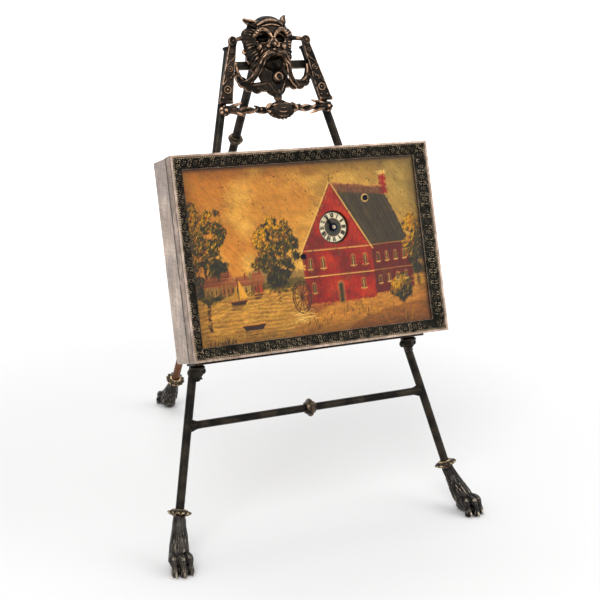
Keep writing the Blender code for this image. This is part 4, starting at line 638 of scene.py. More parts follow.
# %% Horns, arms and the wild mane
strings += [
    [(-5.8, 277.0, 5.6, 1.5), (-9.4, 278.9, 4.6, 1.3), (-13.9, 280.4, 3.2, 0.6)],
    [(-7.2, 275.8, 4.8, 1.3), (-10.8, 276.6, 3.6, 1.1), (-14.0, 280.0, 3.0, 0.5)],
    [(6.8, 277.0, 5.4, 1.4), (9.4, 279.4, 4.4, 1.5), (10.9, 282.0, 3.4, 0.9)],
    [(-13.0, 270.8, 3.0, 1.5), (-16.4, 270.2, 2.8, 1.2), (-20.4, 269.0, 2.8, 1.15)],
    [(12.6, 270.0, 3.0, 1.5), (16.4, 269.8, 2.8, 1.2), (20.6, 269.4, 2.8, 1.15)],
    [(-12.6, 262.6, 3.2, 1.1), (-14.8, 261.8, 2.8, 1.0), (-15.8, 263.0, 2.6, 0.8), (-14.8, 264.0, 2.6, 0.6)],
    [(11.2, 262.2, 3.2, 1.1), (12.8, 261.2, 2.8, 0.9), (13.2, 263.0, 2.6, 0.6)],
]
LEFT_LOCKS = ((-11.8, 275.2), (-14.0, 273.4), (-15.8, 271.2), (-15.6, 268.6), (-14.9, 266.0), (-14.6, 260.4),
              (-13.8, 257.0), (-12.4, 253.6))
RIGHT_LOCKS = ((11.4, 275.8), (13.2, 273.8), (14.4, 271.2), (14.0, 268.0), (13.2, 265.4), (12.8, 259.6),
               (11.8, 256.8), (11.2, 253.4))
LOCKS_FAN_FROM = 266.0
for tips, root_x in ((LEFT_LOCKS, -8.0), (RIGHT_LOCKS, 8.2)):
    for x, y in tips:
        root_y = LOCKS_FAN_FROM + (y - LOCKS_FAN_FROM) * 0.66
        for shift in (-1.1, 0.0, 1.1):
            strings.append([
                (root_x, root_y + shift, 5.3, 0.45),
                (root_x + (x - root_x) * 0.5, root_y + (y - root_y) * 0.3 + shift, 5.0, 0.62),
                (x * (1 - 0.02 * abs(shift)), y + shift * 0.8, 2.5, 0.7),
            ])
print("strings with horns and mane:", len(strings))

# %% Swags between the beard and the side panels
SWAG_LOBES = (
    (-20.4, 249.8, 1.8, 3.6), (-18.0, 246.4, 3.0, 3.2), (-14.4, 243.8, 3.5, 2.9), (-9.8, 242.8, 3.5, 2.9),
    (-5.4, 243.8, 3.1, 3.1), (21.6, 249.4, 1.6, 3.4), (19.8, 246.2, 2.5, 3.0), (16.2, 244.2, 2.9, 2.7),
    (12.4, 244.2, 2.8, 2.7), (8.8, 245.4, 2.8, 2.8),
)
LOBE_RIM = [math.radians(turn) for turn in (185, 225, 270, 315, 355)]
FULL_TURN = [k * math.pi / 4 for k in range(9)]
scallops = lumps([((x, y, 2.3), (wide, high, 1.25)) for x, y, wide, high in SWAG_LOBES])
buttons = lumps([((x, y, 3.5), (0.7, 0.7, 0.45)) for x, y, _, _ in SWAG_LOBES])
strings += [
    [(-20.8, 257.0, 2.5, 0.8), (-20.4, 251.0, 2.8, 0.95), (-18.6, 247.6, 3.2, 0.95),
     (-16.2, 246.0, 3.4, 0.9)],
    [(22.0, 255.6, 2.5, 0.8), (21.6, 250.8, 2.8, 0.95), (19.4, 247.0, 3.2, 0.95), (16.0, 245.8, 3.4, 0.9),
     (11.6, 246.6, 3.6, 0.9)],
    [(-20.4, 254.0, 2.0, 1.0), (-19.6, 248.6, 2.2, 1.5), (-16.0, 244.8, 2.3, 1.7), (-10.0, 244.2, 2.4, 1.7),
     (-4.0, 245.4, 2.4, 1.7)],
    [(21.6, 253.6, 2.0, 1.0), (21.0, 248.6, 2.2, 1.4), (17.6, 245.4, 2.3, 1.6), (12.0, 245.4, 2.4, 1.6),
     (6.0, 246.6, 2.4, 1.6)],
]
for x, y, wide, high in SWAG_LOBES:
    rim_wide, rim_high = 0.88 * wide, 0.88 * high
    strings.append([(x + rim_wide * math.cos(a), y + rim_high * math.sin(a), 3.0, 0.38) for a in LOBE_RIM])
    strings.append([(x + 1.25 * math.cos(a), y + 1.25 * math.sin(a), 3.35, 0.26) for a in FULL_TURN])
print("strings with the swags:", len(strings))

# %% Run the wax together
HOLLOWS = (
    (-4.8, 268.9, 3.9, 2.5, 2.6), (5.3, 268.9, 3.9, 2.5, 2.6), (1.1, 255.4, 6.2, 4.6, 2.4),
    (2.3, 248.4, 1.9, 1.9, 1.2), (0.1, 270.6, 0.9, 1.6, 0.8), (-9.6, 277.9, 2.0, 0.6, 0.9),
    (9.8, 279.6, 0.7, 1.3, 0.8), (-1.9, 263.6, 0.6, 0.4, 0.7), (1.8, 263.6, 0.6, 0.4, 0.7),
    (-5.4, 273.4, 1.6, 0.4, 0.5), (5.8, 273.4, 1.6, 0.4, 0.5),
)
mask = fuse([skull, strands(strings), scallops, buttons], grain=0.27, smooth=2)
press(mask, HOLLOWS, FACE_BACK + 0.8)
print("mask:", len(mask.data.polygons), "faces")

# %% Comb the mane, away from the middle of the face
FACE_UP = 267
HAIRS = 46
spots = points_of(mask)
across, up, out = spots[:, 0] - FACE_MIDDLE, spots[:, 1] - FACE_UP, spots[:, 2]
away = np.hypot(across, up * 0.9)
around = np.arctan2(up, across)
combed = np.clip((away - 8.5) / 2, 0, 1) * np.clip((spots[:, 1] - 253) / 3, 0, 1)
combed *= np.clip((out - 2) / 1.5, 0, 1)
combed *= np.clip((15.5 - away) / 2, 0, 1) * np.clip((0.85 - np.sin(around)) / 0.25, 0, 1)
spots[:, 2] -= 0.22 * combed * (1 + np.cos(around * HAIRS + 1.4 * np.sin(away * 0.7)))
mask.data.vertices.foreach_set("co", spots.reshape(-1))
flat_back(mask, FACE_BACK)
shade(mask, 60)
set_down(mask, "crest_mask_sculpture", "easel_frame", TO_FRONT, sculpted_bronze, "worn_bronze", "crest_mask")

# %% [markdown]
# ## The engraved side panels
#
# Two tapered bars lie on the tops of the legs, each with a ring volute at its head and a roll at
# its lower end. They bear three ringed rosettes with a curved band between them. A cube is
# stretched to the bar, and raised strings for the border and low rings and bands are laid on its
# face. Wax again runs them together, because the real panels are cast in one with their ornament.

# %% Side panels
PANEL_TOP = 267.0
PANEL_BOTTOM = 235.4
PANEL_TOP_WIDTH = 3.8
PANEL_BOTTOM_WIDTH = 7.8
PANEL_INSET = 0.4
PANEL_OUT = 2.6
PANEL_FACE = 4.6
END_ROLL_AT = 0.985
END_ROLL_RADIUS = 1.15
VOLUTE_RISE = 1.3
BAND = ((-0.9, -0.05), (-0.3, 0.02), (0.3, 0.05), (0.9, 0.13))
ROSETTES = ((0.13, 0.95), (0.43, 1.35), (0.78, 1.85))
SEEDS = ((0.27, -0.4), (0.29, 0.4), (0.58, -0.45), (0.60, 0.45), (0.63, 0.0), (0.91, -0.5), (0.91, 0.5))


def panel_spot(side, share, across=0.0, out=0.0):
    """A place on a side panel: a share of the way down, and across it from -1 to 1."""
    up = PANEL_TOP + (PANEL_BOTTOM - PANEL_TOP) * share
    half = (PANEL_TOP_WIDTH + (PANEL_BOTTOM_WIDTH - PANEL_TOP_WIDTH) * share) / 2
    return (side * (leg_across(up) - PANEL_INSET) + across * half, up, PANEL_FACE + out)


def torus(middle, radius, thickness):
    deselect()
    bpy.ops.mesh.primitive_torus_add(
        location=middle, major_radius=radius, minor_radius=thickness, major_segments=28, minor_segments=10,
    )
    bpy.ops.object.transform_apply(location=True, rotation=True, scale=True)
    return bpy.context.object


def side_panel(side, name):
    deselect()
    bpy.ops.mesh.primitive_cube_add(size=1)
    bar = bpy.context.object
    bpy.ops.object.mode_set(mode="EDIT")
    bpy.ops.mesh.subdivide(number_cuts=3)
    bpy.ops.object.mode_set(mode="OBJECT")
    for corner in bar.data.vertices:
        x, y, _ = panel_spot(side, 0.5 - corner.co.y, corner.co.x * 2)
        corner.co = (x, y, PANEL_OUT + (corner.co.z + 0.5) * (PANEL_FACE - PANEL_OUT))

    def across_it(share, places, out, radius):
        return [(*panel_spot(side, share, place, out), radius) for place in places]

    raised = [[(*panel_spot(side, share, border, 0.1), 0.42) for share in (0.0, 0.33, 0.66, 1.0)]
              for border in (-0.9, 0.9)]
    raised += [across_it(share, (-0.9, 0.0, 0.9), 0.0, 0.34) for share in (0.0, 0.99)]
    raised += [[(*panel_spot(side, share + fall, side * across, 0.2), 0.46) for across, fall in BAND]
               for share in (0.26, 0.56)]
    raised.append(across_it(END_ROLL_AT, (-1.0, 0.0, 1.0), 0.1, END_ROLL_RADIUS))
    rings = [torus(panel_spot(side, share, out=0.25), size, 0.40) for share, size in ROSETTES]
    pellets = [(panel_spot(side, share, out=0.1), (size * 0.45, size * 0.45, 0.80))
               for share, size in ROSETTES]
    pellets += [(panel_spot(side, share, side * across, 0.1), (0.55, 0.55, 0.6)) for share, across in SEEDS]
    x, y, _ = panel_spot(side, 0.0)
    head = (x, y + VOLUTE_RISE)
    pieces = [bar, strands(raised), lumps(pellets), *rings]
    for reach, thickness in ((2.05, 0.62), (1.0, 0.5)):
        pieces.append(torus((*head, PANEL_OUT + 2.4), reach, thickness))
    eye = [((*head, PANEL_OUT + 1.3), (2.5, 2.5, 1.5)), ((*head, PANEL_OUT + 2.5), (0.7, 0.7, 0.9))]
    panel = fuse([*pieces, lumps(eye)], grain=0.22)
    flat_back(panel, PANEL_OUT)
    shade(panel, 60)
    set_down(panel, f"{name}_panel_engraved", "easel_frame", TO_FRONT, sculpted_bronze, "worn_bronze",
             f"{name}_crest_panel")


side_panel(-1, "left")
side_panel(1, "right")

# %% [markdown]
# ## The vine bar
#
# Under the mask a vine twists from leg to leg: two strings wound round each other, with leaves where
# they end in a rosette, and a scallop shell at the middle. Ribs fan out over the shell from its top.

# %% The twisted vine and its leaves
VINE_UP = 231.4
VINE_HALF = 30.4
VINE_OUT = 3.9
VINE_STEPS = 48
HALF_TURNS = 7
vine_strings = []
for phase in (0, math.pi):
    row = []
    for i in range(VINE_STEPS + 1):
        share = i / VINE_STEPS
        angle = share * HALF_TURNS * math.pi + phase
        up = VINE_UP + (-1.0 + 1.4 * abs(2 * share - 1)) + 1.15 * math.sin(angle)
        row.append(((2 * share - 1) * VINE_HALF, up, VINE_OUT + 0.6 * math.cos(angle), 0.95))
    vine_strings.append(row)
for side in (-1, 1):
    reach = side * VINE_HALF
    for rise, length, bend in ((1.5, 9.5, 1.6), (-0.6, 11.0, -1.9), (0.6, 7.0, -0.4)):
        vine_strings.append([
            (reach, VINE_UP + rise * 0.5, 4.6, 0.9),
            (reach - side * length * 0.45, VINE_UP + rise + bend * 0.4, 5.2, 1.15),
            (reach - side * length * 0.8, VINE_UP + rise + bend, 4.8, 0.9),
            (reach - side * length, VINE_UP + rise + bend * 1.5, 4.2, 0.4),
        ])
    for rise, start, end in ((1.2, 9.5, 14.0), (-1.4, 12.5, 17.0)):
        vine_strings.append([
            (side * start, VINE_UP - 0.4, 4.4, 0.8), (side * (start + end) / 2, VINE_UP + rise, 5.0, 0.95),
            (side * end, VINE_UP + rise * 1.6, 4.4, 0.4),
        ])
    vine_strings.append([
        (side * 6.0 + 2.2, VINE_UP + 2.6, 5.2, 0.9), (side * 8.6 + 2.2, VINE_UP + 0.8, 5.4, 1.3),
        (side * 9.0 + 2.2, VINE_UP - 1.2, 5.0, 1.1), (side * 6.8 + 2.2, VINE_UP - 1.6, 5.4, 0.8),
    ])
print("strings for the vine:", len(vine_strings))

# %% Shell and rosettes
SHELL = Vector((2.4, 230.6, 3.6))
RIB_SPREAD = 8.6
RIB_DROP = 9.0
RIB_ANGLES = [k * math.radians(15.5) for k in range(-5, 6)]
ROSETTE_X = VINE_HALF + 0.3
PETALS_OF_ROSETTE = 7
shell_body = [
    (SHELL, (8.4, 4.9, 3.0)), ((2.4, 234.4, 3.8), (3.2, 1.8, 1.8)),
    ((-3.6, 232.6, 3.6), (2.6, 2.0, 1.8)), ((8.4, 232.4, 3.6), (2.6, 2.0, 1.8)),
]
for angle in RIB_ANGLES:
    tip = Vector((SHELL.x + RIB_SPREAD * math.sin(angle), SHELL.y + 3.6 - RIB_DROP * math.cos(angle), 4.2))
    vine_strings.append([
        (SHELL.x + 1.2 * math.sin(angle), SHELL.y + 3.2, 6.3, 0.4),
        ((SHELL.x + tip.x) / 2, (SHELL.y + 3.4 + tip.y) / 2, 7.0, 0.6), (*tip, 0.65),
    ])
for reach, out in ((0.34, 6.9), (0.58, 6.7), (0.82, 5.8)):
    vine_strings.append([
        (SHELL.x + RIB_SPREAD * reach * math.sin(a), SHELL.y + 3.6 - RIB_DROP * reach * math.cos(a),
         out - 1.2 * a * a, 0.42) for a in RIB_ANGLES
    ])
for side in (-1, 1):
    for size, out in ((3.0, 3.6), (1.2, 5.4)):
        shell_body.append(((side * ROSETTE_X, VINE_UP, out), (size, size, size * 0.8)))
    for petal in range(PETALS_OF_ROSETTE):
        angle = petal * 2 * math.pi / PETALS_OF_ROSETTE
        place = (side * ROSETTE_X + 2.1 * math.cos(angle), VINE_UP + 2.1 * math.sin(angle), 4.7)
        shell_body.append((place, (1.0, 1.0, 0.9)))
vine = fuse([strands(vine_strings), lumps(shell_body)], grain=0.28)
flat_back(vine, PANEL_OUT)
shade(vine, 60)
set_down(vine, "vine_bar_and_shell", "easel_frame", TO_FRONT, sculpted_bronze, "worn_bronze",
         "crest_vine_bar")

# %% [markdown]
# ## The ledge brackets
#
# The ledge that the clock rests on is held by a leaf at each leg: a midrib, veins and three lobes
# that curl forward under a flat plate. The pellets follow the lobes and the strings the veins.

# %% Leaf brackets
LEDGE_LOW = CASE_BOTTOM - 0.3 - 1.3
BRACKET_TOP = LEDGE_LOW - 0.3


def leaf_bracket(side, name):
    middle, low = side * leg_across(LEDGE_LOW), BRACKET_TOP
    body = [
        ((middle, low - 1.2, 4.4), (4.2, 1.9, 5.2)), ((middle, low - 4.0, 3.4), (3.2, 3.0, 3.4)),
        ((middle - 3.6, low - 3.4, 3.0), (1.5, 1.9, 2.4)), ((middle + 3.6, low - 3.0, 3.0), (1.5, 1.9, 2.4)),
        ((middle, low - 6.8, 3.0), (1.9, 1.7, 2.2)),
    ]
    veins = [[(middle, low - 0.6, 8.6, 0.6), (middle, low - 3.4, 6.9, 0.6), (middle, low - 8.0, 4.0, 0.5)]]
    for way in (-1, 1):
        for start, end in ((1.2, 2.4), (3.0, 5.0), (5.0, 7.4)):
            veins.append([
                (middle, low - start, 7.0 - start * 0.3, 0.4),
                (middle + way * 2.2, low - end + 0.4, 6.0 - end * 0.3, 0.45),
                (middle + way * (4.4 - end * 0.25), low - end, 4.0, 0.35),
            ])
    bracket = fuse([lumps(body), strands(veins)], grain=0.3)
    slice_off(bracket, (0, low, 0), (0, 1, 0))
    flat_back(bracket, PANEL_OUT)
    shade(bracket, 60)
    set_down(bracket, f"{name}_leaf_bracket", "easel_frame", TO_FRONT, bronze, "worn_bronze",
             f"{name}_ledge_bracket")


leaf_bracket(-1, "left")
leaf_bracket(1, "right")

# %% [markdown]
# ## The rods
#
# The legs and bars are drawn rods, nearly black, with soft long lights. The CAD rods have sixteen
# flats, which the lights would show, so each rod is drawn again as one smooth string of the same
# course and thickness. Where the stretcher meets a leg, two short strings round the corners off, as
# solder does.

# %% Smooth rods
LEG_RADIUS = 2.3
LEG_LOW = 24.0
LEG_HEAD = ((0.1, 2.3), (0.15, 3.0), (1.0, 3.2), (1.6, 2.9), (1.9, 1.0))
BAR_RADIUS = 2.1


def drawn_rod(courses, name, body, place, finish, slot, node):
    rod = strands(courses, roundness=12)
    melt(rod, grain=0.32, smooth=6)
    shade(rod, 50)
    return set_down(rod, name, body, place, finish, slot, node)


for name, side in (("left", -1), ("right", 1)):
    heights = [LEG_LOW + share * (LEG_TOP - LEG_LOW) for share in np.linspace(0, 1, 13)]
    course = [(side * leg_across(up), up, 0, LEG_RADIUS) for up in heights]
    x, y, _, _ = course[-1]
    course += [(x, y + rise, 0, radius) for rise, radius in LEG_HEAD]
    drawn_rod([course], f"{name}_leg_rod", "easel_frame", TO_FRONT, bronze, "dark_bronze",
              f"{name}_front_leg")

reach = leg_across(STRETCHER_UP) - LEG_RADIUS / 2
course = [(-reach, 2.3), (1.9 - reach, 2.5)]
course += [(x, BAR_RADIUS) for x in np.linspace(3 - reach, reach - 3, 9)]
course += [(reach - 1.9, 2.5), (reach, 2.3)]
courses = [[(x, STRETCHER_UP, 0, radius) for x, radius in course]]
for side in (-1, 1):
    for rise in (-2.6, 2.6):
        courses.append([
            (side * (reach - 6.0), STRETCHER_UP, 0, 1.6),
            (side * (reach - 2.4), STRETCHER_UP + rise * 0.4, 0, 1.6),
            (side * (leg_across(STRETCHER_UP + rise) - 0.6), STRETCHER_UP + rise, 0, 1.3),
        ])
drawn_rod(courses, "stretcher_rod", "easel_frame", TO_FRONT, bronze, "dark_bronze", "stretcher_bar")

# %% [markdown]
# ## Pleated collars and turned knops
#
# Above each foot sits a collar like a small umbrella: a turned bell whose rim is drawn out into
# scalloped petals. Its section is spun round the leg in many steps. Then its points are pulled in
# between the petals, deeper towards the rim, as a chasing tool would press the pleats.

# %% Collars
COLLAR_SECTION = [
    (2.42, 2.2), (3.2, 2.3), (3.75, 1.9), (4.6, 1.2), (5.5, 0.75), (6.3, 0.55), (6.5, 0.2), (6.4, -0.25),
    (5.7, -0.45), (4.8, -0.8), (3.9, -1.3), (3.3, -1.6), (2.42, -1.6),
]
COLLAR_STEPS = 96
KNOP_STEPS = 64
PETALS = 12


def spun(section, steps):
    """A closed ring: the section's points spun round Z by edit mode's spin operator."""
    rim = [(i, (i + 1) % len(section)) for i in range(len(section))]
    made = new_piece("section", [(radius, 0, up) for radius, up in section], rim, [])
    edit_all(made)
    bpy.ops.mesh.spin(steps=steps, angle=2 * math.pi, center=(0, 0, 0), axis=(0, 0, 1))
    bpy.ops.mesh.select_all(action="SELECT")
    bpy.ops.mesh.remove_doubles(threshold=0.0001)
    end_edit()
    return made


def pleated_collar():
    collar = spun(COLLAR_SECTION, COLLAR_STEPS)
    for point in collar.data.vertices:
        x, y, z = point.co
        share = max(0.0, (math.hypot(x, y) - 3.2) / 3.3)
        fold = abs(math.cos(math.atan2(y, x) * PETALS / 2)) ** 0.6
        pull = 1.0 - 0.20 * (1 - fold) * share ** 1.5
        point.co = (x * pull, y * pull, z + (fold - 0.75) * share)
    apply_modifier(collar, "SUBSURF", levels=1, render_levels=1)
    shade(collar, 50)
    return collar


def along(origin, axis):
    """The place of a turned piece: its Z on the axis, through origin, in millimetres."""
    return Matrix.Translation(origin) @ Vector(axis).to_track_quat("Z", "Y").to_matrix().to_4x4()


def leg_axis(side, up):
    high = Vector((side * leg_across(up + 1), up + 1, 0))
    low = Vector((side * leg_across(up - 1), up - 1, 0))
    return (high - low).normalized()


for name, side in (("left", -1), ("right", 1)):
    place = TO_FRONT @ along((side * leg_across(COLLAR_UP), COLLAR_UP, 0), leg_axis(side, COLLAR_UP))
    set_down(pleated_collar(), f"{name}_pleated_collar", "easel_frame", place, gilt_bronze, "worn_bronze",
             f"{name}_leg_collar")

# %% The rear leg's frame, collar and rod
REAR_LEAN = math.radians(29.54)
HINGE_UP = 261.9
HINGE_BEHIND = 16.5
ROD_TOP = -5.3
ROD_START = 24.6
ROD_RADIUS = 2.45
REAR_COLLAR_UP = 26.4
RED_BELOW = 0.125
RED_FADE = 0.05

hinge = TO_FRONT @ Vector((0, HINGE_UP, -HINGE_BEHIND))
REAR_LENGTH = hinge.z / MM / math.cos(REAR_LEAN)
TO_REAR = Matrix.Translation(hinge) @ Matrix.Rotation(REAR_LEAN, 4, "X") @ TO_MM
set_down(pleated_collar(), "rear_pleated_collar", "rear_leg",
         TO_REAR @ Matrix.Translation((0, 0, REAR_COLLAR_UP - REAR_LENGTH)), gilt_bronze, "worn_bronze",
         "rear_leg_collar")
course = [(0, 0, z, ROD_RADIUS) for z in np.linspace(ROD_START - REAR_LENGTH, ROD_TOP, 15)]
rear_rod = drawn_rod([course], "rear_leg_smooth_rod", "rear_leg", TO_REAR, reddened_bronze, "copper_bronze",
                     "rear_leg_rod")
store(rear_rod, "reddened", (RED_BELOW - points_of(rear_rod)[:, 2]) / RED_FADE)
print("rear leg:", round(REAR_LENGTH, 1), "mm")

# %% [markdown]
# The stretcher and the rear leg each carry a turned knop, two cones back to back with a rubbed rim.

# %% Knops
REAR_KNOP_AT = -53.7


def knop(bore, radius, half_width):
    upper = [(bore, half_width), (bore + 0.7, half_width), (bore + 1.0, half_width - 0.35),
             (radius - 1.2, 0.95), (radius - 0.25, 0.62), (radius, 0.3)]
    made = spun(upper + [(out, -up) for out, up in reversed(upper)], KNOP_STEPS)
    shade(made, 35)
    return made


set_down(knop(2.22, 4.9, 2.8), "stretcher_turned_knop", "easel_frame",
         TO_FRONT @ along((0, STRETCHER_UP, 0), (1, 0, 0)), knop_bronze, "worn_bronze", "stretcher_knop")
set_down(knop(2.57, 4.4, 2.2), "rear_turned_knop", "rear_leg",
         TO_REAR @ Matrix.Translation((0, 0, REAR_KNOP_AT)), knop_bronze, "worn_bronze", "rear_leg_knop")

# %% [markdown]
# ## The lion's paws
#
# Each leg ends in a paw: a shank covered with tufts of fur, three knuckled toes and their claws. The
# paw stands upright on the table while its leg leans, so it is modelled in a frame of its own, X
# ahead, Z up from the sole, and its shank is led up to where the leg comes out of the collar.

# %% One paw
TOES = ((-3.9, 1.6), (0.0, 0.0), (3.9, 1.6))
PAW_MIDDLE = Vector((0.4, 0, 5.4))
SIDE_AXIS = Vector((0, 1, 0))
FUR_ROWS = 7
FUR_COUNT = 13


def toe(across, back):
    """Strings for one toe: instep, knuckle, neck, tip and the claw under it."""
    flared = across * 1.03
    flesh = (
        (1.6, across * 0.8, 8.0, 2.0), (4.6, across, 8.1, 2.45), (6.9, flared, 7.2, 2.6),
        (8.9, flared, 4.7, 1.35), (9.7, flared, 2.4, 2.25), (8.8, flared, 0.4, 1.8),
    )
    claw = ((10.6, flared, 3.0, 0.9), (11.9, flared, 1.9, 0.75), (12.2, flared, 0.6, 0.35))
    return [[(x - back, y, z, radius) for x, y, z, radius in string] for string in (flesh, claw)]


def paw_wax(ankle, up):
    """The wax of a paw, in millimetres from the middle of its sole; ankle is where the leg enters."""
    body = [
        (PAW_MIDDLE, (5.4, 4.9, 5.2)), ((-1.4, 0, 2.7), (4.8, 4.2, 2.8)), ((5.0, 0, 3.0), (4.4, 4.6, 3.0)),
    ]
    shank = (
        (ankle + up * 1.2, 3.2), (ankle.lerp(PAW_MIDDLE, 0.25), 3.6), (ankle.lerp(PAW_MIDDLE, 0.6), 5.0),
        (PAW_MIDDLE, 5.0),
    )
    strings = [[(*spot, radius) for spot, radius in shank]]
    for across, back in TOES:
        strings += toe(across, back)
        body.append(((6.6 - back, across * 1.03, 8.0), (2.3, 2.1, 1.9)))
    down = (PAW_MIDDLE - ankle).normalized()
    front_axis = down.cross(SIDE_AXIS).normalized()
    length = (PAW_MIDDLE - ankle).length
    for row in range(FUR_ROWS):
        start = 0.02 + row * 0.125
        radius = 3.05 + 1.85 * min(1.0, max(0.0, start - 0.1) / 0.5)
        for k in range(FUR_COUNT):
            angle = (k + 0.5 * (row % 2)) * 2 * math.pi / FUR_COUNT + 0.12 * math.sin(5.0 * k + row)
            out = SIDE_AXIS * math.cos(angle) + front_axis * math.sin(angle)
            sway = SIDE_AXIS * 0.25 * math.sin(k * 1.7 + row)
            first = ankle + down * length * start + out * (radius - 0.15)
            bend = ankle + down * length * (start + 0.13) + out * (radius + 0.15) + sway
            last = ankle + down * length * (start + 0.25) + out * (radius + 0.30)
            strings.append([(*first, 0.35), (*bend, 0.58), (*last, 0.26)])
    return [lumps(body), strands(strings)]


def set_paw(name, body, node, ankle_world, up_world, sole, ahead):
    sideways = Vector((0, 0, 1)).cross(ahead)
    turn = Matrix((ahead, sideways, (0, 0, 1))).transposed().to_4x4()
    place = GROUND @ Matrix.Translation(sole) @ turn @ TO_MM
    ankle = place.inverted() @ ankle_world
    up = (place.inverted().to_3x3() @ up_world).normalized()
    paw = fuse(paw_wax(ankle, up), grain=0.25)
    flat_back(paw, 0)
    slice_off(paw, ankle + up * 0.3, up)
    shade(paw, 60)
    set_down(paw, name, body, place, paw_bronze, "worn_bronze", node)


# %% Three paws
COLLAR_DROP = 1.6
FIT = 0.3
SOLE_BEHIND = -0.0056
TOES_OUT = math.radians(6)
ankle_up = COLLAR_UP - COLLAR_DROP - FIT
for name, side in (("left", -1), ("right", 1)):
    ankle = TO_FRONT @ Vector((side * leg_across(ankle_up), ankle_up, 0))
    up = TO_FRONT.to_3x3() @ leg_axis(side, COLLAR_UP)
    sole = Vector((side * FOOT_HALF_SPREAD * MM, SOLE_BEHIND, 0))
    ahead = Matrix.Rotation(side * TOES_OUT, 3, "Z") @ Vector((0, -1, 0))
    set_paw(f"{name}_lion_paw", "easel_frame", f"{name}_paw_foot", ankle, up, sole, ahead)

ankle = TO_REAR @ Vector((0, 0, REAR_COLLAR_UP - COLLAR_DROP - FIT - REAR_LENGTH))
tip = TO_REAR @ Vector((0, 0, -REAR_LENGTH))
sole = GROUND.inverted() @ Vector((0, tip.y, 0))
set_paw("rear_lion_paw", "rear_leg", "rear_paw_foot", ankle, TO_REAR.to_3x3() @ Vector((0, 0, 1)), sole,
        Vector((0, 1, 0)))

# %% [markdown]
# ## The stamped moulding of the bezel
#
# The picture's frame is a thin copper rim with a dark sloping moulding inside it, stamped with a
# running pattern of rosettes and S-scrolls. The CAD bezel already has the rim, the step and the
# slope, so it stays, and the stamped strip is laid on the slope as a piece of its own. A strip is a
# fine grid whose heights follow the pattern, four of them meet in mitres, and the strip is closed
# underneath, inside the bezel.

# %% Pattern of the moulding
SLOPE_OUTER = 1.45
SLOPE_INNER = 6.95
SLOPE_WIDTH = 5.5
SLOPE_HIGH = 24.6
SLOPE_LOW = 21.45
STAMP_RISE = 0.62
STAMP_PITCH = 6.1
BEAD_PITCH = 1.2
SCROLL = 0.80
PETALS_OF_STAMP = 6


def boss(u, v, centre_u, centre_v, size_u, size_v):
    """A rounded boss, 1 at its middle and 0 from its rim on."""
    away = ((u - centre_u) / size_u) ** 2 + ((v - centre_v) / size_v) ** 2
    return np.sqrt(np.clip(1 - away, 0, 1))


def arc_at(u, v, centre_u, centre_v, radius, width, start, end):
    """A rounded line bent round a centre from one angle to another."""
    angle = np.mod(np.arctan2(v - centre_v, u - centre_u) - start, 2 * math.pi)
    away = np.abs(np.hypot(u - centre_u, v - centre_v) - radius) / width
    return np.where(angle <= (end - start), np.sqrt(np.clip(1 - away ** 2, 0, 1)), 0)


def stamped(u, v):
    """The height of the stamping at u along the moulding and v across it, from 0 outside to 1."""
    cell = np.mod(u, STAMP_PITCH) - STAMP_PITCH / 2
    beads = np.mod(u, BEAD_PITCH) - BEAD_PITCH / 2
    across = (v - 0.5) * SLOPE_WIDTH
    forms = [boss(cell, across, 0, 0, 0.55, 0.55)]
    for k in range(PETALS_OF_STAMP):
        angle = k * math.pi / 3 + 0.3
        forms.append(0.85 * boss(cell, across, 0.95 * math.cos(angle), 0.95 * math.sin(angle), 0.52, 0.52))
    for side in (-1, 1):
        for way, start, end in ((1, -0.6, 4.2), (-1, 2.55, 7.3)):
            eye = side * STAMP_PITCH / 2 - way * 0.15
            forms.append(0.9 * arc_at(cell, across, eye, way * 0.85, SCROLL, 0.30, start, end))
            forms.append(0.8 * boss(cell, across, eye, way * 0.85, 0.36, 0.36))
            forms.append(0.7 * boss(cell, across, side * 1.75, way * 1.75, 0.50, 0.32))
    forms.append(0.75 * boss(beads, across, 0, -2.35, 0.48, 0.34))
    forms.append(0.55 * boss(beads, across, 0, 2.4, 0.5, 0.22))
    return np.maximum.reduce(forms)


# %% Four mitred strips
GRID = 0.21
STEPS_ACROSS = 26
STRIP_LIFT = 0.04
STRIP_DEPTH = 0.25
SIDES_OF_BEZEL = {
    "top": ((-1, 1), (1, 1)), "right": ((1, 1), (1, -1)), "bottom": ((1, -1), (-1, -1)),
    "left": ((-1, -1), (-1, 1)),
}


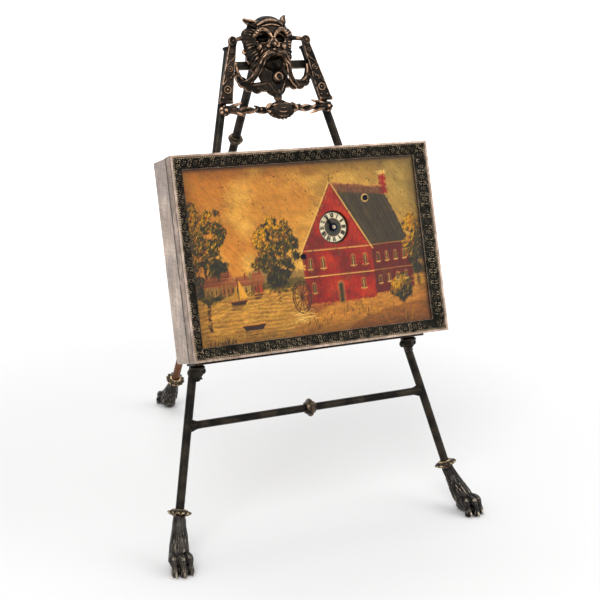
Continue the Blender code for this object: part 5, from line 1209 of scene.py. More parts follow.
def moulding_strip(first, last):
    """One side of the stamped strip; its ends are signs of across and up from the case's middle."""
    half = np.array([CASE_WIDTH / 2, CASE_HEIGHT / 2])
    first, last = np.array(first), np.array(last)
    steps_along = int(np.abs((last - first) * half).max() / GRID)
    share_u = np.linspace(0, 1, steps_along + 1)
    share_v = np.linspace(0, 1, STEPS_ACROSS + 1)[:, None]
    inset = SLOPE_OUTER + (SLOPE_INNER - SLOPE_OUTER) * share_v
    begin = first * (half - inset)
    end = last * (half - inset)
    places = begin[:, None, :] + (end - begin)[:, None, :] * share_u[None, :, None]
    run = np.hypot(*(places - (first * half)).transpose(2, 0, 1) * np.abs(last - first)[:, None, None] / 2)
    pattern = stamped(run + STAMP_PITCH * 0.25, np.broadcast_to(share_v, run.shape))
    fade = np.minimum(1, np.minimum(share_v, 1 - share_v) * 14)
    slope = SLOPE_HIGH + (SLOPE_LOW - SLOPE_HIGH) * share_v
    x, y = places[:, :, 0], places[:, :, 1] + CASE_HEIGHT / 2
    top = np.stack([x, y, slope + STRIP_LIFT + STAMP_RISE * pattern * fade], axis=-1).reshape(-1, 3)
    base = np.stack([x, y, np.broadcast_to(slope - STRIP_DEPTH, x.shape)], axis=-1).reshape(-1, 3)
    index = np.arange(len(top)).reshape(x.shape)
    corners = [index[:-1, :-1], index[:-1, 1:], index[1:, 1:], index[1:, :-1]]
    faces = np.stack(corners, axis=-1).reshape(-1, 4).tolist()
    rim = [int(v) for v in (*index[0, :], *index[1:, -1], *index[-1, -2::-1], *index[-2:0:-1, 0])]
    under = [len(top) + i for i in range(len(rim))]
    for i, v in enumerate(rim):
        after = (i + 1) % len(rim)
        faces.append([rim[after], v, under[i], under[after]])
    faces.append(under)
    strip = new_piece("strip", np.concatenate([top, base[rim]]).tolist(), [], faces)
    edit_all(strip)
    end_edit()
    shade(strip, 70)
    return strip


for name, ends in SIDES_OF_BEZEL.items():
    set_down(moulding_strip(*ends), f"{name}_stamped_moulding", "clock_case", TO_CASE, bezel_metal,
             "bezel_metal")

# %% [markdown]
# ## The painted panel
#
# The picture is painted on a thin sheet in oils, in gold, brick red and green. It shows a mill by a
# river, whose gable carries the dial. The computer paints as a painter does: first broad areas of
# colour, then thousands of short strokes that take the colour under them and vary it a little, and
# last the thin details. Everything comes from seeded random numbers, so the picture is the same each
# time. The sheet is a fine grid whose points keep the colour, and the load of paint lifts them a few
# hundredths of a millimetre.

# %% Canvas
PANEL_HALF = 69.4
PANEL_LOW = 5.6
PANEL_HIGH = 99.0
PANEL_COLUMNS = 374
PANEL_ROWS = 252
CELL = 0.37
GROUND_FLOW, SKY_FLOW, WATER_FLOW, LEAF_FLOW, WALL_FLOW = range(5)

dice = np.random.default_rng(11)
canvas_x, canvas_y = np.meshgrid(
    np.linspace(-PANEL_HALF, PANEL_HALF, PANEL_COLUMNS + 1),
    np.linspace(PANEL_LOW, PANEL_HIGH, PANEL_ROWS + 1),
)
paint = np.zeros((*canvas_x.shape, 3))
load = np.zeros(canvas_x.shape)
flow = np.full(canvas_x.shape, SKY_FLOW)


def soft_noise(cells, seed):
    """Smooth random hills between -1 and 1, cells of them across the panel."""
    knots = np.random.default_rng(seed).uniform(-1, 1, (cells + 2, cells + 2))
    at_x = (canvas_x / PANEL_HALF + 1) / 2 * cells
    at_y = (canvas_y - PANEL_LOW) / (PANEL_HIGH - PANEL_LOW) * cells
    column, row = at_x.astype(int), at_y.astype(int)
    share_x, share_y = at_x - column, at_y - row
    share_x, share_y = share_x ** 2 * (3 - 2 * share_x), share_y ** 2 * (3 - 2 * share_y)
    low = knots[row, column] * (1 - share_x) + knots[row, column + 1] * share_x
    high = knots[row + 1, column] * (1 - share_x) + knots[row + 1, column + 1] * share_x
    return low * (1 - share_y) + high * share_y


def inside(outline):
    """True on the canvas where a point is inside the closed outline."""
    result = np.zeros(canvas_x.shape, dtype=bool)
    for (x1, y1), (x2, y2) in zip(outline, outline[1:] + outline[:1]):
        if y1 == y2:
            continue
        crosses = (canvas_y < y1) != (canvas_y < y2)
        result ^= crosses & (canvas_x < x1 + (canvas_y - y1) * (x2 - x1) / (y2 - y1))
    return result


def lay(mask, colour, direction=None, share=1.0):
    """Covers the canvas where the mask is true; share may be a number or a map."""
    share = np.broadcast_to(share, canvas_x.shape)[mask][:, None]
    paint[mask] = paint[mask] * (1 - share) + np.array(colour) * share
    if direction is not None:
        flow[mask] = direction


def fill(outline, colour, direction=None, share=1.0):
    lay(inside(outline), colour, direction, share)


def box(left, low, right, high):
    return [(left, low), (right, low), (right, high), (left, high)]


def varied(colour, low, high):
    """A colour made darker or lighter by a random factor."""
    return np.array(colour) * dice.uniform(low, high)


def nearby(index, span):
    """The rows or columns near one, as far as they are on the canvas."""
    return slice(max(0, index - span), max(0, index + span + 1))


def stroke(x, y, angle, length, width, colour, cover, lift):
    """One touch of the brush: a capsule with soft flanks and bristle marks along it."""
    span = int((length / 2 + width) / CELL) + 1
    column = int((x + PANEL_HALF) / (2 * PANEL_HALF) * PANEL_COLUMNS)
    row = int((y - PANEL_LOW) / (PANEL_HIGH - PANEL_LOW) * PANEL_ROWS)
    near = nearby(row, span), nearby(column, span)
    dx, dy = canvas_x[near] - x, canvas_y[near] - y
    along_it = dx * math.cos(angle) + dy * math.sin(angle)
    across_it = dy * math.cos(angle) - dx * math.sin(angle)
    beyond = np.maximum(np.abs(along_it) - length / 2, 0)
    mask = np.clip(1.25 - np.hypot(beyond, across_it) / (width / 2), 0, 1) * cover
    paint[near] += (np.array(colour) - paint[near]) * mask[:, :, None]
    bristles = 0.75 + 0.25 * np.cos(across_it / width * 9.0 + x)
    load[near] += (lift * bristles - load[near]) * mask


def line(x1, y1, x2, y2, width, colour, lift=0.8):
    length = math.hypot(x2 - x1, y2 - y1)
    stroke((x1 + x2) / 2, (y1 + y2) / 2, math.atan2(y2 - y1, x2 - x1), length, width, colour, 0.95, lift)


print("canvas:", canvas_x.shape)

# %% Sky, hills and river
HORIZON = 33.0
SKY_LOW = (0.86, 0.68, 0.40)
SKY_HIGH = (0.70, 0.52, 0.29)
FAR_HILLS = [
    (-70, 33), (-70, 40), (-58, 43), (-44, 40.5), (-30, 44.5), (-12, 41), (6, 43), (30, 40), (50, 44),
    (70, 41), (70, 33),
]
NEAR_HILLS = [(-70, 31), (-70, 37), (-50, 38.5), (-32, 36.5), (-16, 38), (0, 36), (70, 37), (70, 31)]

rise = np.clip((canvas_y - HORIZON) / (PANEL_HIGH - HORIZON), 0, 1)
paint[:] = np.array(SKY_LOW) * (1 - rise[:, :, None]) + np.array(SKY_HIGH) * rise[:, :, None]
warm = np.clip(-canvas_x / 90 + 0.35 * soft_noise(4, 1), 0, 0.6)
cool = np.clip((canvas_x - 5) / 95 * rise * 1.3 + 0.25 * soft_noise(5, 2), 0, 0.62)
clouds = np.clip(soft_noise(9, 3) * 0.5 + soft_noise(17, 4) * 0.35, 0, 0.6)
everywhere = np.ones(canvas_x.shape, dtype=bool)
for share, colour in ((warm, (0.73, 0.49, 0.26)), (cool, (0.58, 0.56, 0.42)), (clouds, (0.90, 0.77, 0.50))):
    lay(everywhere, colour, share=share)
fill(FAR_HILLS, (0.60, 0.50, 0.36), WALL_FLOW)
fill(NEAR_HILLS, (0.42, 0.38, 0.22), GROUND_FLOW)
water = canvas_y < HORIZON
lay(water, (0.77, 0.61, 0.36), WATER_FLOW)
ripples = np.clip(0.5 * np.sin(canvas_y * 3.1 + 2 * soft_noise(12, 5)) + 0.4 * soft_noise(24, 6), 0, 0.55)
lay(water, (0.47, 0.36, 0.22), share=ripples)
fill([(-12, 33), (40, 33), (32, 8), (-2, 8)], (0.52, 0.22, 0.14), share=0.45)
print("share of water:", round(water.mean(), 2))

# %% Banks and mill
BRICK = (0.60, 0.18, 0.11)
DARK_BRICK = (0.42, 0.12, 0.11)
LIGHT_BRICK = (0.80, 0.33, 0.20)
SLATE = (0.30, 0.28, 0.25)
CREAM = (0.90, 0.78, 0.56)
ROSE_TILE = (0.74, 0.45, 0.36)
MILL = 14.7
MILL_LEFT = MILL - 21
MILL_RIGHT = MILL + 21
RIDGE = (MILL, 86)
FAR_BANK = [(70, 27), (34, 25.5), (12, 22.5), (-4, 17), (-14, 11), (-18, 5), (70, 5)]
NEAR_BANK = [(70, 19), (40, 16), (22, 11), (14, 5), (70, 5)]
GABLE = [(MILL_LEFT, 22.5), (MILL_RIGHT, 22.5), (MILL_RIGHT, 50), RIDGE, (MILL_LEFT, 50)]

fill(FAR_BANK, (0.72, 0.53, 0.30), GROUND_FLOW)
fill(NEAR_BANK, (0.55, 0.37, 0.20), GROUND_FLOW, 0.7)
for outline, colour, share in (
    (box(MILL_LEFT, 22.5, MILL_RIGHT, 51), BRICK, 1.0),
    ([(MILL_LEFT, 50), (MILL_RIGHT, 50), RIDGE], BRICK, 1.0),
    ([RIDGE, (46, 82), (60, 51), (MILL_RIGHT, 50)], SLATE, 1.0),
    ([RIDGE, (46, 82), (48.2, 77.2), (MILL + 3, 80.9)], ROSE_TILE, 0.55),
    ([(MILL_RIGHT, 51), (60, 51), (60, 26.5), (MILL_RIGHT, 24.5)], DARK_BRICK, 1.0),
    (box(45, 78, 49.5, 90), BRICK, 1.0),
    (box(44.3, 88.5, 50.2, 90.2), CREAM, 1.0),
):
    fill(outline, colour, WALL_FLOW, share)
gable = inside(GABLE)
lay(gable, LIGHT_BRICK, share=0.6 * np.clip(soft_noise(14, 7) + 0.3, 0, 1))
lay(gable, DARK_BRICK, share=0.75 * np.clip(soft_noise(22, 12) + 0.1, 0, 1))
lay(gable, DARK_BRICK, share=np.clip((MILL - 6 - canvas_x) / 26, 0, 0.5))
print("share of the gable:", round(gable.mean(), 2))

# %% Trees
DARK_LEAF = (0.17, 0.19, 0.11)
OLIVE_LEAF = (0.38, 0.36, 0.14)
GOLD_LEAF = (0.80, 0.62, 0.16)
RUST_LEAF = (0.66, 0.34, 0.14)
LEAF_OVER = ((0.55, GOLD_LEAF), (0.42, RUST_LEAF), (-0.25, OLIVE_LEAF), (-math.inf, DARK_LEAF))
BLOTS = 84
foliage = []


def tree(x, low, high, width, lean):
    """A trunk and a crown of overlapping blots, the lit ones up and to the left."""
    fork = high - width * 0.4
    trunk = [(x - 1.0, low), (x + 1.0, low), (x + 0.5 + lean, fork), (x - 0.5 + lean, fork)]
    fill(trunk, (0.24, 0.17, 0.11), WALL_FLOW)
    for _ in range(BLOTS):
        angle, far = dice.uniform(0, 2 * math.pi), dice.uniform(0, 1) ** 0.5
        blot_x = x + lean + width / 2 * far * math.cos(angle)
        blot_y = (low + high) / 2 + (high - low) * 0.10 + (high - low) * 0.38 * far * math.sin(angle)
        radius = dice.uniform(1.8, 3.6) * (width / 24) ** 0.5
        away = np.hypot(canvas_x - blot_x, (canvas_y - blot_y) * 1.2)
        lay(away < radius * (1 + 0.3 * soft_noise(40, 8)), DARK_LEAF, LEAF_FLOW, 0.9)
        foliage.append((blot_x, blot_y, radius, far * math.sin(angle) - 0.6 * far * math.cos(angle)))


for planted in ((-22, 24, 70, 25, 0.0), (-62, 14, 84, 24, 1.0), (63, 26, 66, 13, 0.0), (52, 17, 33, 12, 0.0)):
    tree(*planted)
print("blots of foliage:", len(foliage))

# %% Thousands of strokes
STROKES = 15000
LEAVES_OF_BLOT = 16
ANGLE_OF = {GROUND_FLOW: 0.12, SKY_FLOW: -0.75, WATER_FLOW: 0.0, LEAF_FLOW: 1.0, WALL_FLOW: 1.5}
LENGTH_OF = {GROUND_FLOW: 3.6, SKY_FLOW: 3.2, WATER_FLOW: 4.6, LEAF_FLOW: 1.6, WALL_FLOW: 1.9}
under = paint.copy()
for _ in range(STROKES):
    spot = dice.integers(0, PANEL_ROWS + 1), dice.integers(0, PANEL_COLUMNS + 1)
    kind = flow[spot]
    spread = 0.6 if kind == SKY_FLOW else 1.0
    tone = under[spot] * (1 + spread * dice.uniform(-0.16, 0.17)) + spread * dice.uniform(-0.025, 0.025, 3)
    stroke(
        canvas_x[spot], canvas_y[spot], ANGLE_OF[kind] + dice.normal(0, 0.28),
        LENGTH_OF[kind] * dice.uniform(0.5, 1.3), dice.uniform(0.45, 0.95), np.clip(tone, 0, 1), 0.72,
        dice.uniform(0.2, 0.8),
    )
for blot_x, blot_y, radius, lit in foliage:
    for _ in range(LEAVES_OF_BLOT):
        angle, far = dice.uniform(0, 2 * math.pi), radius * dice.uniform(0, 1.15)
        chance = lit + dice.normal(0.05, 0.55)
        tone = varied(next(leaf for limit, leaf in LEAF_OVER if chance > limit), 0.8, 1.2)
        x, y = blot_x + far * math.cos(angle), blot_y + far * math.sin(angle)
        stroke(x, y, dice.uniform(0.3, 1.8), 1.1, 0.62, tone, 0.9, 1.0)
print("strokes:", STROKES, "leaves:", len(foliage) * LEAVES_OF_BLOT)

# %% The mill's lines, windows, door and bricks
INK = (0.10, 0.07, 0.06)
SHADED_CREAM = (0.70, 0.55, 0.38)
RIDGE_LIGHT = (0.80, 0.62, 0.40)
DOOR = (0.16, 0.20, 0.14)
BRICKS = 420
SLATES = 46


def window(x, y, width, height, slope=0.0):
    """A dark opening with a cream frame, a mullion and a sill; slope is its perspective."""
    low, high = y - height / 2, y + height / 2
    line(x, low, x, high, width + 0.7, CREAM)
    line(x, low + 0.3, x, high - 0.3, width - 0.1, INK, 0.3)
    line(x, low, x, high, 0.32, CREAM)
    line(x - width * 0.8, low - 0.4 - slope, x + width * 0.8, low - 0.4 + slope, 0.5, CREAM)


for up in (50.6, 36.8):
    line(MILL_LEFT, up, MILL_RIGHT, up, 0.75, CREAM)
    line(MILL_RIGHT, up + 0.2, 60, up + 0.8, 0.6, SHADED_CREAM)
for side in (-1, 1):
    line(MILL + side * 21.8, 49, MILL, 86.6, 0.9, CREAM)
    line(MILL + side * 20.4, 49.6, MILL, 84.6, 0.4, DARK_BRICK)
line(MILL, 86.4, 46.3, 82.4, 0.6, RIDGE_LIGHT)
line(MILL, 86, MILL, 90, 0.45, INK)
line(MILL - 1.6, 89, MILL + 2.2, 89.2, 0.5, GOLD_LEAF)
for x in (-1.8, 5.6, 23.8, 31.2):
    window(x, 43.4, 2.3, 4.4)
for x in (-1.2, 28.6):
    window(x, 30.6, 2.3, 3.8)
for k in range(4):
    window(39.2 + k * 5.4, 43.8 + k * 0.2, 1.7, 3.8, 0.1)
    window(39.2 + k * 5.4, 31.6 + k * 0.5, 1.6, 3.2, 0.1)
line(MILL, 23.5, MILL, 31.5, 4.2, CREAM)
line(MILL, 23.0, MILL, 31.0, 3.2, DOOR, 0.3)
line(MILL, 23.0, MILL, 32.0, 0.3, INK)
for _ in range(BRICKS):
    x, y = dice.uniform(MILL - 20, MILL + 20), dice.uniform(24, 66)
    if abs(x - MILL) < 20 - max(0, y - 50) * 0.58:
        line(x, y, x + dice.uniform(0.6, 1.4), y, 0.26, varied(BRICK, 0.55, 1.35))
for share in np.arange(SLATES) / (SLATES - 1):
    tone = varied(SLATE, 0.6, 1.35)
    line(MILL + 4 + share * 27, 83.6 - share * 2.2, MILL_RIGHT + share * 22, 52, 0.24, tone)
print("bricks:", BRICKS, "lines of slate:", SLATES)

# %% Cottages across the river
COTTAGES = (
    (-63, 8.5, 37.0, 41.6, SHADED_CREAM), (-54, 7.0, 38.0, 43.4, (0.60, 0.42, 0.30)),
    (-46.5, 9.0, 36.2, 40.6, (0.78, 0.64, 0.44)), (-36.5, 6.5, 37.4, 42.0, (0.58, 0.36, 0.26)),
)
BOARD = 0.5
ROOF_ROWS = 7
for left, width, wall, roof, colour in COTTAGES:
    for k in range(int(width / BOARD)):
        line(left + k * BOARD, 32.0, left + k * BOARD, wall, 0.6, varied(colour, 0.85, 1.1))
    for k in range(ROOF_ROWS):
        share = k / (ROOF_ROWS - 1)
        inset, up = share * width * 0.2, wall + share * (roof - wall)
        line(left - 0.6 + inset, up, left + width + 0.4 - inset, up, 0.8, varied(ROSE_TILE, 0.75, 0.98))
    for k in range(3):
        x = left + 1.4 + k * 2.4
        line(x, 33.4, x, 35.0, 0.7, (0.22, 0.15, 0.12), 0.3)
    chimney = left + width * 0.7
    line(chimney, roof - 0.5, chimney, roof + 1.8, 0.8, DARK_BRICK)
for _ in range(90):
    x, y = dice.uniform(-68, -12), dice.uniform(31.0, 33.4)
    stroke(x, y, dice.uniform(0, 0.6), 1.6, 0.6, varied(OLIVE_LEAF, 0.6, 1.2), 0.85, 0.6)
print("cottages:", len(COTTAGES))

# %% Mill wheel, boats and reeds
WHEEL = (-9.0, 27.0)
PADDLE_STEP = math.pi / 6
HULL = ((-5, 0.9), (5, 1.1), (3.6, -0.9), (-3.8, -0.9))
BOATS = (
    (-45, 27.6, 1.0, (0.86, 0.66, 0.34)), (-33.5, 30.6, 0.55, (0.70, 0.32, 0.20)), (-38, 14.2, 1.35, None),
)
REED = (0.34, 0.30, 0.12)


def on_wheel(reach, angle):
    return WHEEL[0] + reach * 0.62 * math.cos(angle), WHEEL[1] + reach * math.sin(angle)


for k in range(12):
    angle = k * PADDLE_STEP + 0.1
    line(*WHEEL, *on_wheel(8.6, angle), 0.55, (0.26, 0.16, 0.09))
    for reach, tone in ((8.6, (0.22, 0.13, 0.08)), (7.0, (0.40, 0.25, 0.13))):
        line(*on_wheel(reach, angle), *on_wheel(reach, angle + PADDLE_STEP), 0.7, tone)
for _ in range(60):
    x, y = dice.normal(WHEEL[0] - 1, 3.4), dice.uniform(13.5, 20)
    line(x, y, x + dice.uniform(1.0, 3.0), y, 0.34, varied(CREAM, 0.85, 1.08))
for x, y, size, sail in BOATS:
    fill([(x + across * size, y + up * size) for across, up in HULL], (0.25, 0.15, 0.10))
    line(x - 5 * size, y + 1.0 * size, x + 5 * size, y + 1.2 * size, 0.5, (0.78, 0.52, 0.28))
    for k in range(4):
        low = y - (1.4 + k * 0.7) * size
        line(x - 4 * size, low, x + (3 - k) * size, low, 0.4, (0.30, 0.20, 0.13))
    if sail:
        line(x, y, x, y + 12.5 * size, 0.45, INK)
        fill([(x + 0.5, y + 2 * size), (x + 5.4 * size, y + 2.6 * size), (x + 0.5, y + 12 * size)], sail)
        jib = [(x - 0.5, y + 2.4 * size), (x - 3.4 * size, y + 2.8 * size), (x - 0.5, y + 9.6 * size)]
        fill(jib, np.array(sail) * 0.86)
for k in range(150):
    on_left = k % 2
    x = dice.uniform(-69, -48) if on_left else dice.uniform(-12, 60)
    low = 6.0 if on_left else max(5.8, 17 - abs(x - 20) * 0.25 + dice.normal(0, 2.5))
    tone = varied(REED if dice.uniform() < 0.6 else GOLD_LEAF, 0.7, 1.1)
    line(x, low, x + dice.normal(0, 0.8), low + dice.uniform(1.5, 5.0), 0.34, tone)
for _ in range(170):
    x, y = dice.uniform(-66, 68), dice.uniform(42, 98)
    stroke(x, y, dice.uniform(0, 3), 0.25, dice.uniform(0.35, 0.8), (0.26, 0.15, 0.08), 0.7, 0.2)
print("boats:", len(BOATS), "thickest paint:", round(load.max(), 2))

# %% Cream ring round the upper screw, painted shade at the picture's edges, and old varnish
DIAL = (14.7, 62.1)
SCREW_OFFSET = (20.5, 14.2)
SCREW_RING = 2.45
VARNISH = (1.0, 0.94, 0.72)


def linear(colours):
    """From colours as the eye grades them to amounts of light, which Blender works with."""
    return np.where(colours <= 0.04045, colours / 12.92, ((colours + 0.055) / 1.055) ** 2.4)


away = np.hypot(canvas_x - DIAL[0] - SCREW_OFFSET[0], canvas_y - DIAL[1] - SCREW_OFFSET[1])
lay(away < SCREW_RING, (0.86, 0.76, 0.60), share=np.clip((SCREW_RING - away) / 0.4, 0, 1))
# Painted shade: the picture darkens towards all four edges, as if the frame round it shaded it.
rim_shade_distance = np.minimum(canvas_y - PANEL_LOW, PANEL_HIGH - canvas_y)
rim_shade_distance = np.minimum((PANEL_HALF - np.abs(canvas_x)) / 9, rim_shade_distance / 9)
paint *= (0.72 + 0.28 * np.clip(rim_shade_distance, 0, 1))[:, :, None]
# Painted shadow: a darker band along the right and top edges, where the bezel's lip would shade the recessed
# picture.
rebate_shadow = np.minimum((PANEL_HALF - 1.2 - canvas_x) / 2.2, (PANEL_HIGH - 1.4 - canvas_y) / 2.2)
paint *= (0.55 + 0.45 * np.clip(rebate_shadow, 0, 1))[:, :, None]
paint = 0.46 + (paint - 0.5) * 1.28
paint = np.clip(paint * np.array(VARNISH) * (1 + 0.06 * soft_noise(30, 9))[:, :, None], 0.02, 1)
print("mean colour of the picture:", paint.mean(axis=(0, 1)).round(2))

# %% [markdown]
# The canvas becomes a sheet. A grid of as many cells gets the paint as a point colour. The cells
# over the dial and over the two screws are deleted, the rims of the openings are drawn into true
# circles, and the open border is extruded backwards and filled.

# %% Sheet with its openings
PANEL_BACK = 19.3
PANEL_FRONT = 20.5
PAINT_LIFT = 0.09
DIAL_OPENING = 8.9
SCREW_OPENING = 1.1
openings = [(*DIAL, DIAL_OPENING)]
for side in (-1, 1):
    openings.append((DIAL[0] + side * SCREW_OFFSET[0], DIAL[1] + side * SCREW_OFFSET[1], SCREW_OPENING))


def keep_paint(piece, colours):
    """Stores a colour for each point, for the materials to read."""
    colours = np.concatenate([colours, np.ones((len(colours), 1))], axis=1)
    painted = piece.data.color_attributes.new("painted", "FLOAT_COLOR", "POINT")
    painted.data.foreach_set("color", colours.reshape(-1))


deselect()
bpy.ops.mesh.primitive_grid_add(x_subdivisions=PANEL_COLUMNS, y_subdivisions=PANEL_ROWS, size=2)
panel = bpy.context.object
spots = np.stack([canvas_x, canvas_y], axis=-1)
cell_x = (canvas_x[:-1, :-1] + canvas_x[1:, 1:]) / 2
cell_y = (canvas_y[:-1, :-1] + canvas_y[1:, 1:]) / 2
open_cells = np.zeros(cell_x.shape, dtype=bool)
for x, y, radius in openings:
    gone = np.hypot(cell_x - x, cell_y - y) < radius
    open_cells |= gone
    padded = np.pad(gone, 1)
    corners = np.stack([padded[:-1, :-1], padded[:-1, 1:], padded[1:, :-1], padded[1:, 1:]])
    rim = corners.any(axis=0) & ~corners.all(axis=0)
    away = np.stack([canvas_x - x, canvas_y - y], axis=-1)
    distance = np.hypot(away[..., 0], away[..., 1])[..., None]
    spots[rim] = (np.array((x, y)) + away / distance * radius)[rim]
    load[np.hypot(canvas_x - x, canvas_y - y) < radius + 0.4] = 0
load[[0, -1], :] = 0
load[:, [0, -1]] = 0
places = np.concatenate([spots, (PANEL_FRONT + PAINT_LIFT * load)[..., None]], axis=-1)
panel.data.vertices.foreach_set("co", places.reshape(-1))
keep_paint(panel, linear(paint).reshape(-1, 3))

select_only(panel)
bpy.ops.object.mode_set(mode="EDIT")
bpy.ops.mesh.select_all(action="DESELECT")
bpy.ops.object.mode_set(mode="OBJECT")
panel.data.polygons.foreach_set("select", open_cells.reshape(-1))
bpy.ops.object.mode_set(mode="EDIT")
bpy.ops.mesh.select_mode(type="FACE")
bpy.ops.mesh.delete(type="FACE")
bpy.ops.mesh.select_mode(type="EDGE")
bpy.ops.mesh.select_non_manifold(
    extend=False, use_wire=False, use_multi_face=False, use_non_contiguous=False, use_verts=False,
)
bpy.ops.mesh.extrude_region_move(TRANSFORM_OT_translate={"value": (0, 0, PANEL_BACK - PANEL_FRONT)})
bpy.ops.mesh.fill(use_beauty=True)
bpy.ops.mesh.select_all(action="SELECT")
end_edit()
shade(panel, 40)
print("panel:", len(panel.data.polygons), "faces")


# %% Oil paint and enamel
def painted_finish(name, roughness, crackle, hatch_depth):
    """The point colour with craquelure, bristle hatching and an uneven varnish."""
    made, bench, shader = new_material(name)
    where = bench.add("TexCoord", out="Object")
    colour = bench.add("Attribute", out="Color", attribute_name="painted")
    cells = bench.add("TexVoronoi", {"Vector": where, "Scale": 620.0}, "Distance", feature="DISTANCE_TO_EDGE")
    cracks = bench.times(bench.ramp(cells, 0.030, 0.004), crackle)
    cracks = bench.times(cracks, bench.ramp(bench.noise(where, 60.0, 3.0), 0.42, 0.66))
    hatch = bench.noise(bench.stretched(where, (1.0, 1.0, 6.0), (0.0, 0.8, 0.0)), 1500.0, 3.0)
    grime = bench.noise(where, 150.0, 5.0, 0.6)
    colour = bench.mix(bench.times(bench.ramp(hatch, 0.60, 0.42), 0.18), colour, rgba(0.10, 0.055, 0.02))
    colour = bench.mix(bench.times(bench.ramp(grime, 0.52, 0.70), 0.30), colour, rgba(0.14, 0.07, 0.020))
    bench.feed(shader["Base Color"], bench.mix(cracks, colour, rgba(0.05, 0.03, 0.02)))
    bench.feed(shader["Roughness"], bench.math("ADD", roughness, bench.times(grime, 0.25)))
    bench.feed(shader["Coat Weight"], 0.10)
    bench.feed(shader["Coat Roughness"], 0.22)
    bench.feed(shader["Specular IOR Level"], 0.3)
    relief = bench.math("SUBTRACT", bench.times(hatch, hatch_depth), cracks)
    bench.feed(shader["Normal"], bench.bump(relief, 0.00005))
    return made


oil_paint = painted_finish("oil_paint", 0.34, 0.8, 1.0)
set_down(panel, "painted_picture_sheet", "clock_case", TO_CASE, oil_paint, "picture", "picture_panel")

# %% [markdown]
# ## The dial
#
# The dial is a small enamelled plate behind the opening in the picture. It is painted the same way,
# on a grid of rings and spokes: a black line at the rim, a cream ring with Roman numerals that stand
# with their feet to the middle, and a dark green disc under the hands.

# %% Numerals
DIAL_OUTER = 10.2
DIAL_BORE = 1.8
DIAL_BACK = 18.2
DIAL_FRONT = 19.0
RINGS = 72
SPOKES = 300
BLACK_LINE_FROM = 7.95
CREAM_FROM = 4.95
NUMERAL_LOW = 5.45
NUMERAL_HIGH = 7.45
STROKES_OF = {
    "I": [(0, 0, 0, 1, 1.0)],
    "V": [(-0.42, 1, 0, 0, 1.0), (0.42, 1, 0, 0, 0.55)],
    "X": [(-0.42, 1, 0.42, 0, 1.0), (0.42, 1, -0.42, 0, 0.55)],
}
WIDTH_OF = {"I": 0.52, "V": 1.05, "X": 1.05}
HOURS = ("XII", "I", "II", "III", "IIII", "V", "VI", "VII", "VIII", "IX", "X", "XI")
ENAMEL_GREEN = (0.17, 0.22, 0.17)
ENAMEL_CREAM = (0.95, 0.90, 0.74)

ring, spoke = np.meshgrid(
    np.linspace(DIAL_BORE, DIAL_OUTER, RINGS), np.arange(SPOKES) * 2 * math.pi / SPOKES, indexing="ij",
)
dial_x, dial_y = ring * np.cos(spoke), ring * np.sin(spoke)


def tinted(face, share, colour):
    """The dial's colours with a share of another colour laid over them."""
    share = share[..., None]
    return face * (1 - share) + np.array(colour) * share


def away_from(x, y, x1, y1, x2, y2):
    """How far each point is from the line between two points."""
    dx, dy = x2 - x1, y2 - y1
    share = np.clip(((x - x1) * dx + (y - y1) * dy) / (dx * dx + dy * dy), 0, 1)
    return np.hypot(x - x1 - share * dx, y - y1 - share * dy)


speckle = dice.uniform(-1, 1, ring.shape)
speckle = (speckle + np.roll(speckle, 1, axis=1) + np.roll(speckle, -1, axis=1)) / 3
face = np.where((ring > CREAM_FROM)[..., None], np.array(ENAMEL_CREAM), np.array(ENAMEL_GREEN))
face = face * (1 + 0.10 * speckle)[..., None]
face = tinted(face, np.clip((4.4 - ring) / 3.4, 0, 0.55), (0.13, 0.14, 0.17))
face = tinted(face, np.clip(1.4 - np.abs(ring - CREAM_FROM) / 0.16, 0, 1), (0.72, 0.50, 0.38))
for hour, numeral in enumerate(HOURS):
    turn = math.pi / 2 - hour * math.pi / 6
    out = dial_x * math.cos(turn) + dial_y * math.sin(turn)
    across = dial_x * math.sin(turn) - dial_y * math.cos(turn)
    left = -sum(WIDTH_OF[letter] for letter in numeral) / 2
    ink = (0.05, 0.05, 0.04) if hour % 3 else (0.10, 0.13, 0.08)
    for letter in numeral:
        middle = left + WIDTH_OF[letter] / 2
        left += WIDTH_OF[letter]
        for x1, y1, x2, y2, weight in STROKES_OF[letter]:
            start, end = [NUMERAL_LOW + share * (NUMERAL_HIGH - NUMERAL_LOW) for share in (y1, y2)]
            away = away_from(across, out, middle + x1, start, middle + x2, end)
            face = tinted(face, np.clip(1.6 - away / (0.24 * weight), 0, 1), ink)
face = tinted(face, np.clip((ring - BLACK_LINE_FROM) / 0.12 + 0.5, 0, 1), (0.03, 0.03, 0.03))
print("numerals:", *HOURS)

# %% Plate
flat = np.stack([dial_x, dial_y, np.full_like(dial_x, DIAL_FRONT)], axis=-1).reshape(-1, 3)
index = np.arange(RINGS * SPOKES).reshape(RINGS, SPOKES)
after = np.roll(index, -1, axis=1)
cells = np.stack([index[:-1], index[1:], after[1:], after[:-1]], axis=-1).reshape(-1, 4)
back = flat[np.concatenate([index[0], index[-1]])] - np.array((0, 0, DIAL_FRONT - DIAL_BACK))
inner = len(flat) + np.arange(SPOKES)
outer = inner + SPOKES
walls = [
    np.stack([index[0], np.roll(index[0], -1), np.roll(inner, -1), inner], axis=-1),
    np.stack([np.roll(index[-1], -1), index[-1], outer, np.roll(outer, -1)], axis=-1),
    np.stack([inner, np.roll(inner, -1), np.roll(outer, -1), outer], axis=-1),
]
dial = new_piece("dial", np.concatenate([flat, back]).tolist(), [], np.concatenate([cells, *walls]).tolist())
dark_back = np.full((2 * SPOKES, 3), 0.05)
keep_paint(dial, np.concatenate([linear(np.clip(face, 0, 1)).reshape(-1, 3), dark_back]))
edit_all(dial)
end_edit()
shade(dial, 40)
enamel = painted_finish("dial_enamel", 0.28, 0.5, 0.25)
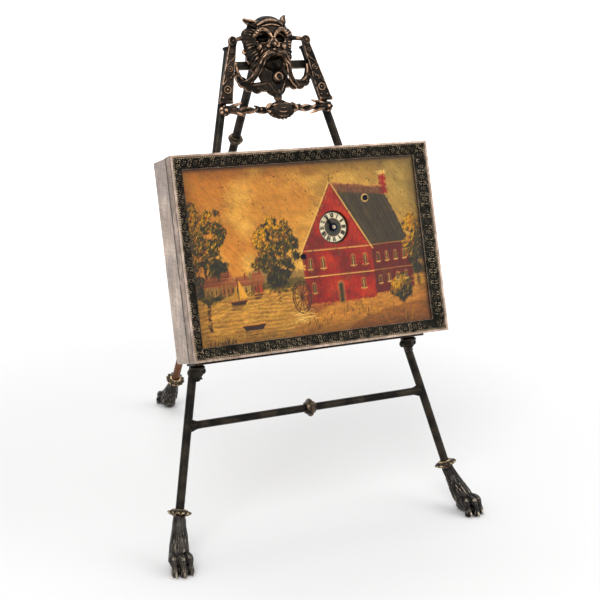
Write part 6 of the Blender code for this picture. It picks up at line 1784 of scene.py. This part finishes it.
set_down(dial, "painted_dial_plate", "clock_case", TO_CASE @ Matrix.Translation((*DIAL, 0)), enamel,
         "dial_paint", "dial_plate")

# %% [markdown]
# ## Finishes for the CAD pieces that stay
#
# Hinge, case, cover and movement have the right shape already, so they only trade their plain colour
# for a finish.

# %% Finishes of the CAD nodes
FINISH_OF = {
    bronze: ("hinge_crossbar", "rear_leg_knuckle"),
    black_metal: ("ledge_bar",),
    case_metal: ("case_body", "rear_cover"),
    rim_metal: ("front_bezel",),
    brass: (
        "movement_front_plate", "movement_back_plate", "top_pillar", "left_pillar", "right_pillar",
        "barrel_drum", "barrel_cover", "minute_wheel", "hour_wheel", "centre_wheel", "third_wheel",
        "escape_wheel", "balance_wheel", "winding_key", "set_knob", "cover_knob",
    ),
    steel: (
        "hinge_pin", "cover_hinge_pin", "barrel_arbor", "ratchet_wheel", "click", "lever", "cannon_pinion",
    ),
    blued_steel: (
        "upper_movement_screw", "lower_movement_screw", "mainspring", "hairspring", "hour_hand",
        "minute_hand",
    ),
}
for finish, names in FINISH_OF.items():
    for name in names:
        nodes[name].data.materials.clear()
        nodes[name].data.materials.append(finish)
plain = sorted(set(nodes) - {name for names in FINISH_OF.values() for name in names})
print("nodes without a finish here:", [name for name in plain if not nodes[name].hide_render])

# %% [markdown]
# ## Table, light and camera background
#
# The photograph was taken on white paper under large soft lamps, and the shadow is pale and has no
# edge. The floor is a pale sheet that turns white for the camera's eye only, so that no lamp has to
# be turned up to whiten it, and the lamps stay at a plain level that shows colours as they are.

# %% Floor
deselect()
bpy.ops.mesh.primitive_plane_add(size=12, location=(0, 0, -0.0001))
floor = bpy.context.object
floor.name = "paper_floor"
paper, bench, shader = new_material("white_paper")
bench.feed(shader["Base Color"], rgba(0.86, 0.86, 0.86))
bench.feed(shader["Roughness"], 0.9)
bench.feed(shader["Specular IOR Level"], 0.1)
bench.feed(shader["Emission Color"], rgba(1.0, 1.0, 1.0))
distance = bench.add("VectorMath", {0: bench.add("TexCoord", out="Object")}, "Value", operation="LENGTH")
glow = bench.math("ADD", 0.02, bench.times(bench.ramp(distance, 0.15, 1.0), 0.75))
glow = bench.times(bench.add("LightPath", out="Is Camera Ray"), glow)
bench.feed(shader["Emission Strength"], glow)
floor.data.materials.append(paper)
print("floor:", floor.name)

# %% World
world = bpy.data.worlds.new("studio")
bpy.context.scene.world = world
world.use_nodes = True
sky = Bench(world.node_tree)
ray = sky.add("LightPath").node.outputs
unlit = sky.math("MAXIMUM", ray["Is Glossy Ray"], ray["Is Transmission Ray"])
seen = sky.math("MAXIMUM", ray["Is Camera Ray"], unlit)
background = world.node_tree.nodes["Background"].inputs
strength = sky.add("MapRange", {"Value": seen, "To Min": 0.62, "To Max": 1.0}, "Result")
sky.feed(background["Strength"], strength)
sky.feed(background["Color"], rgba(1.0, 1.0, 1.0))
print("world:", world.name)

# %% Lamps
LAMPS = (
    ("key_lamp", (-0.9, -1.2, 1.5), 0.9, 14), ("fill_lamp", (1.2, -1.0, 0.9), 1.2, 6),
    ("top_lamp", (0.1, 0.5, 1.7), 1.2, 8),
)
AIM = Vector((0, 0, 0.12))
for name, at, size, power in LAMPS:
    bpy.ops.object.light_add(type="AREA", location=at)
    lamp = bpy.context.object
    lamp.name = name
    lamp.data.size = size
    lamp.data.energy = power
    lamp.rotation_euler = (AIM - Vector(at)).to_track_quat("-Z", "Y").to_euler()
    print(name, power, "W")

# %% Finish
bpy.context.scene.view_settings.view_transform = "Standard"
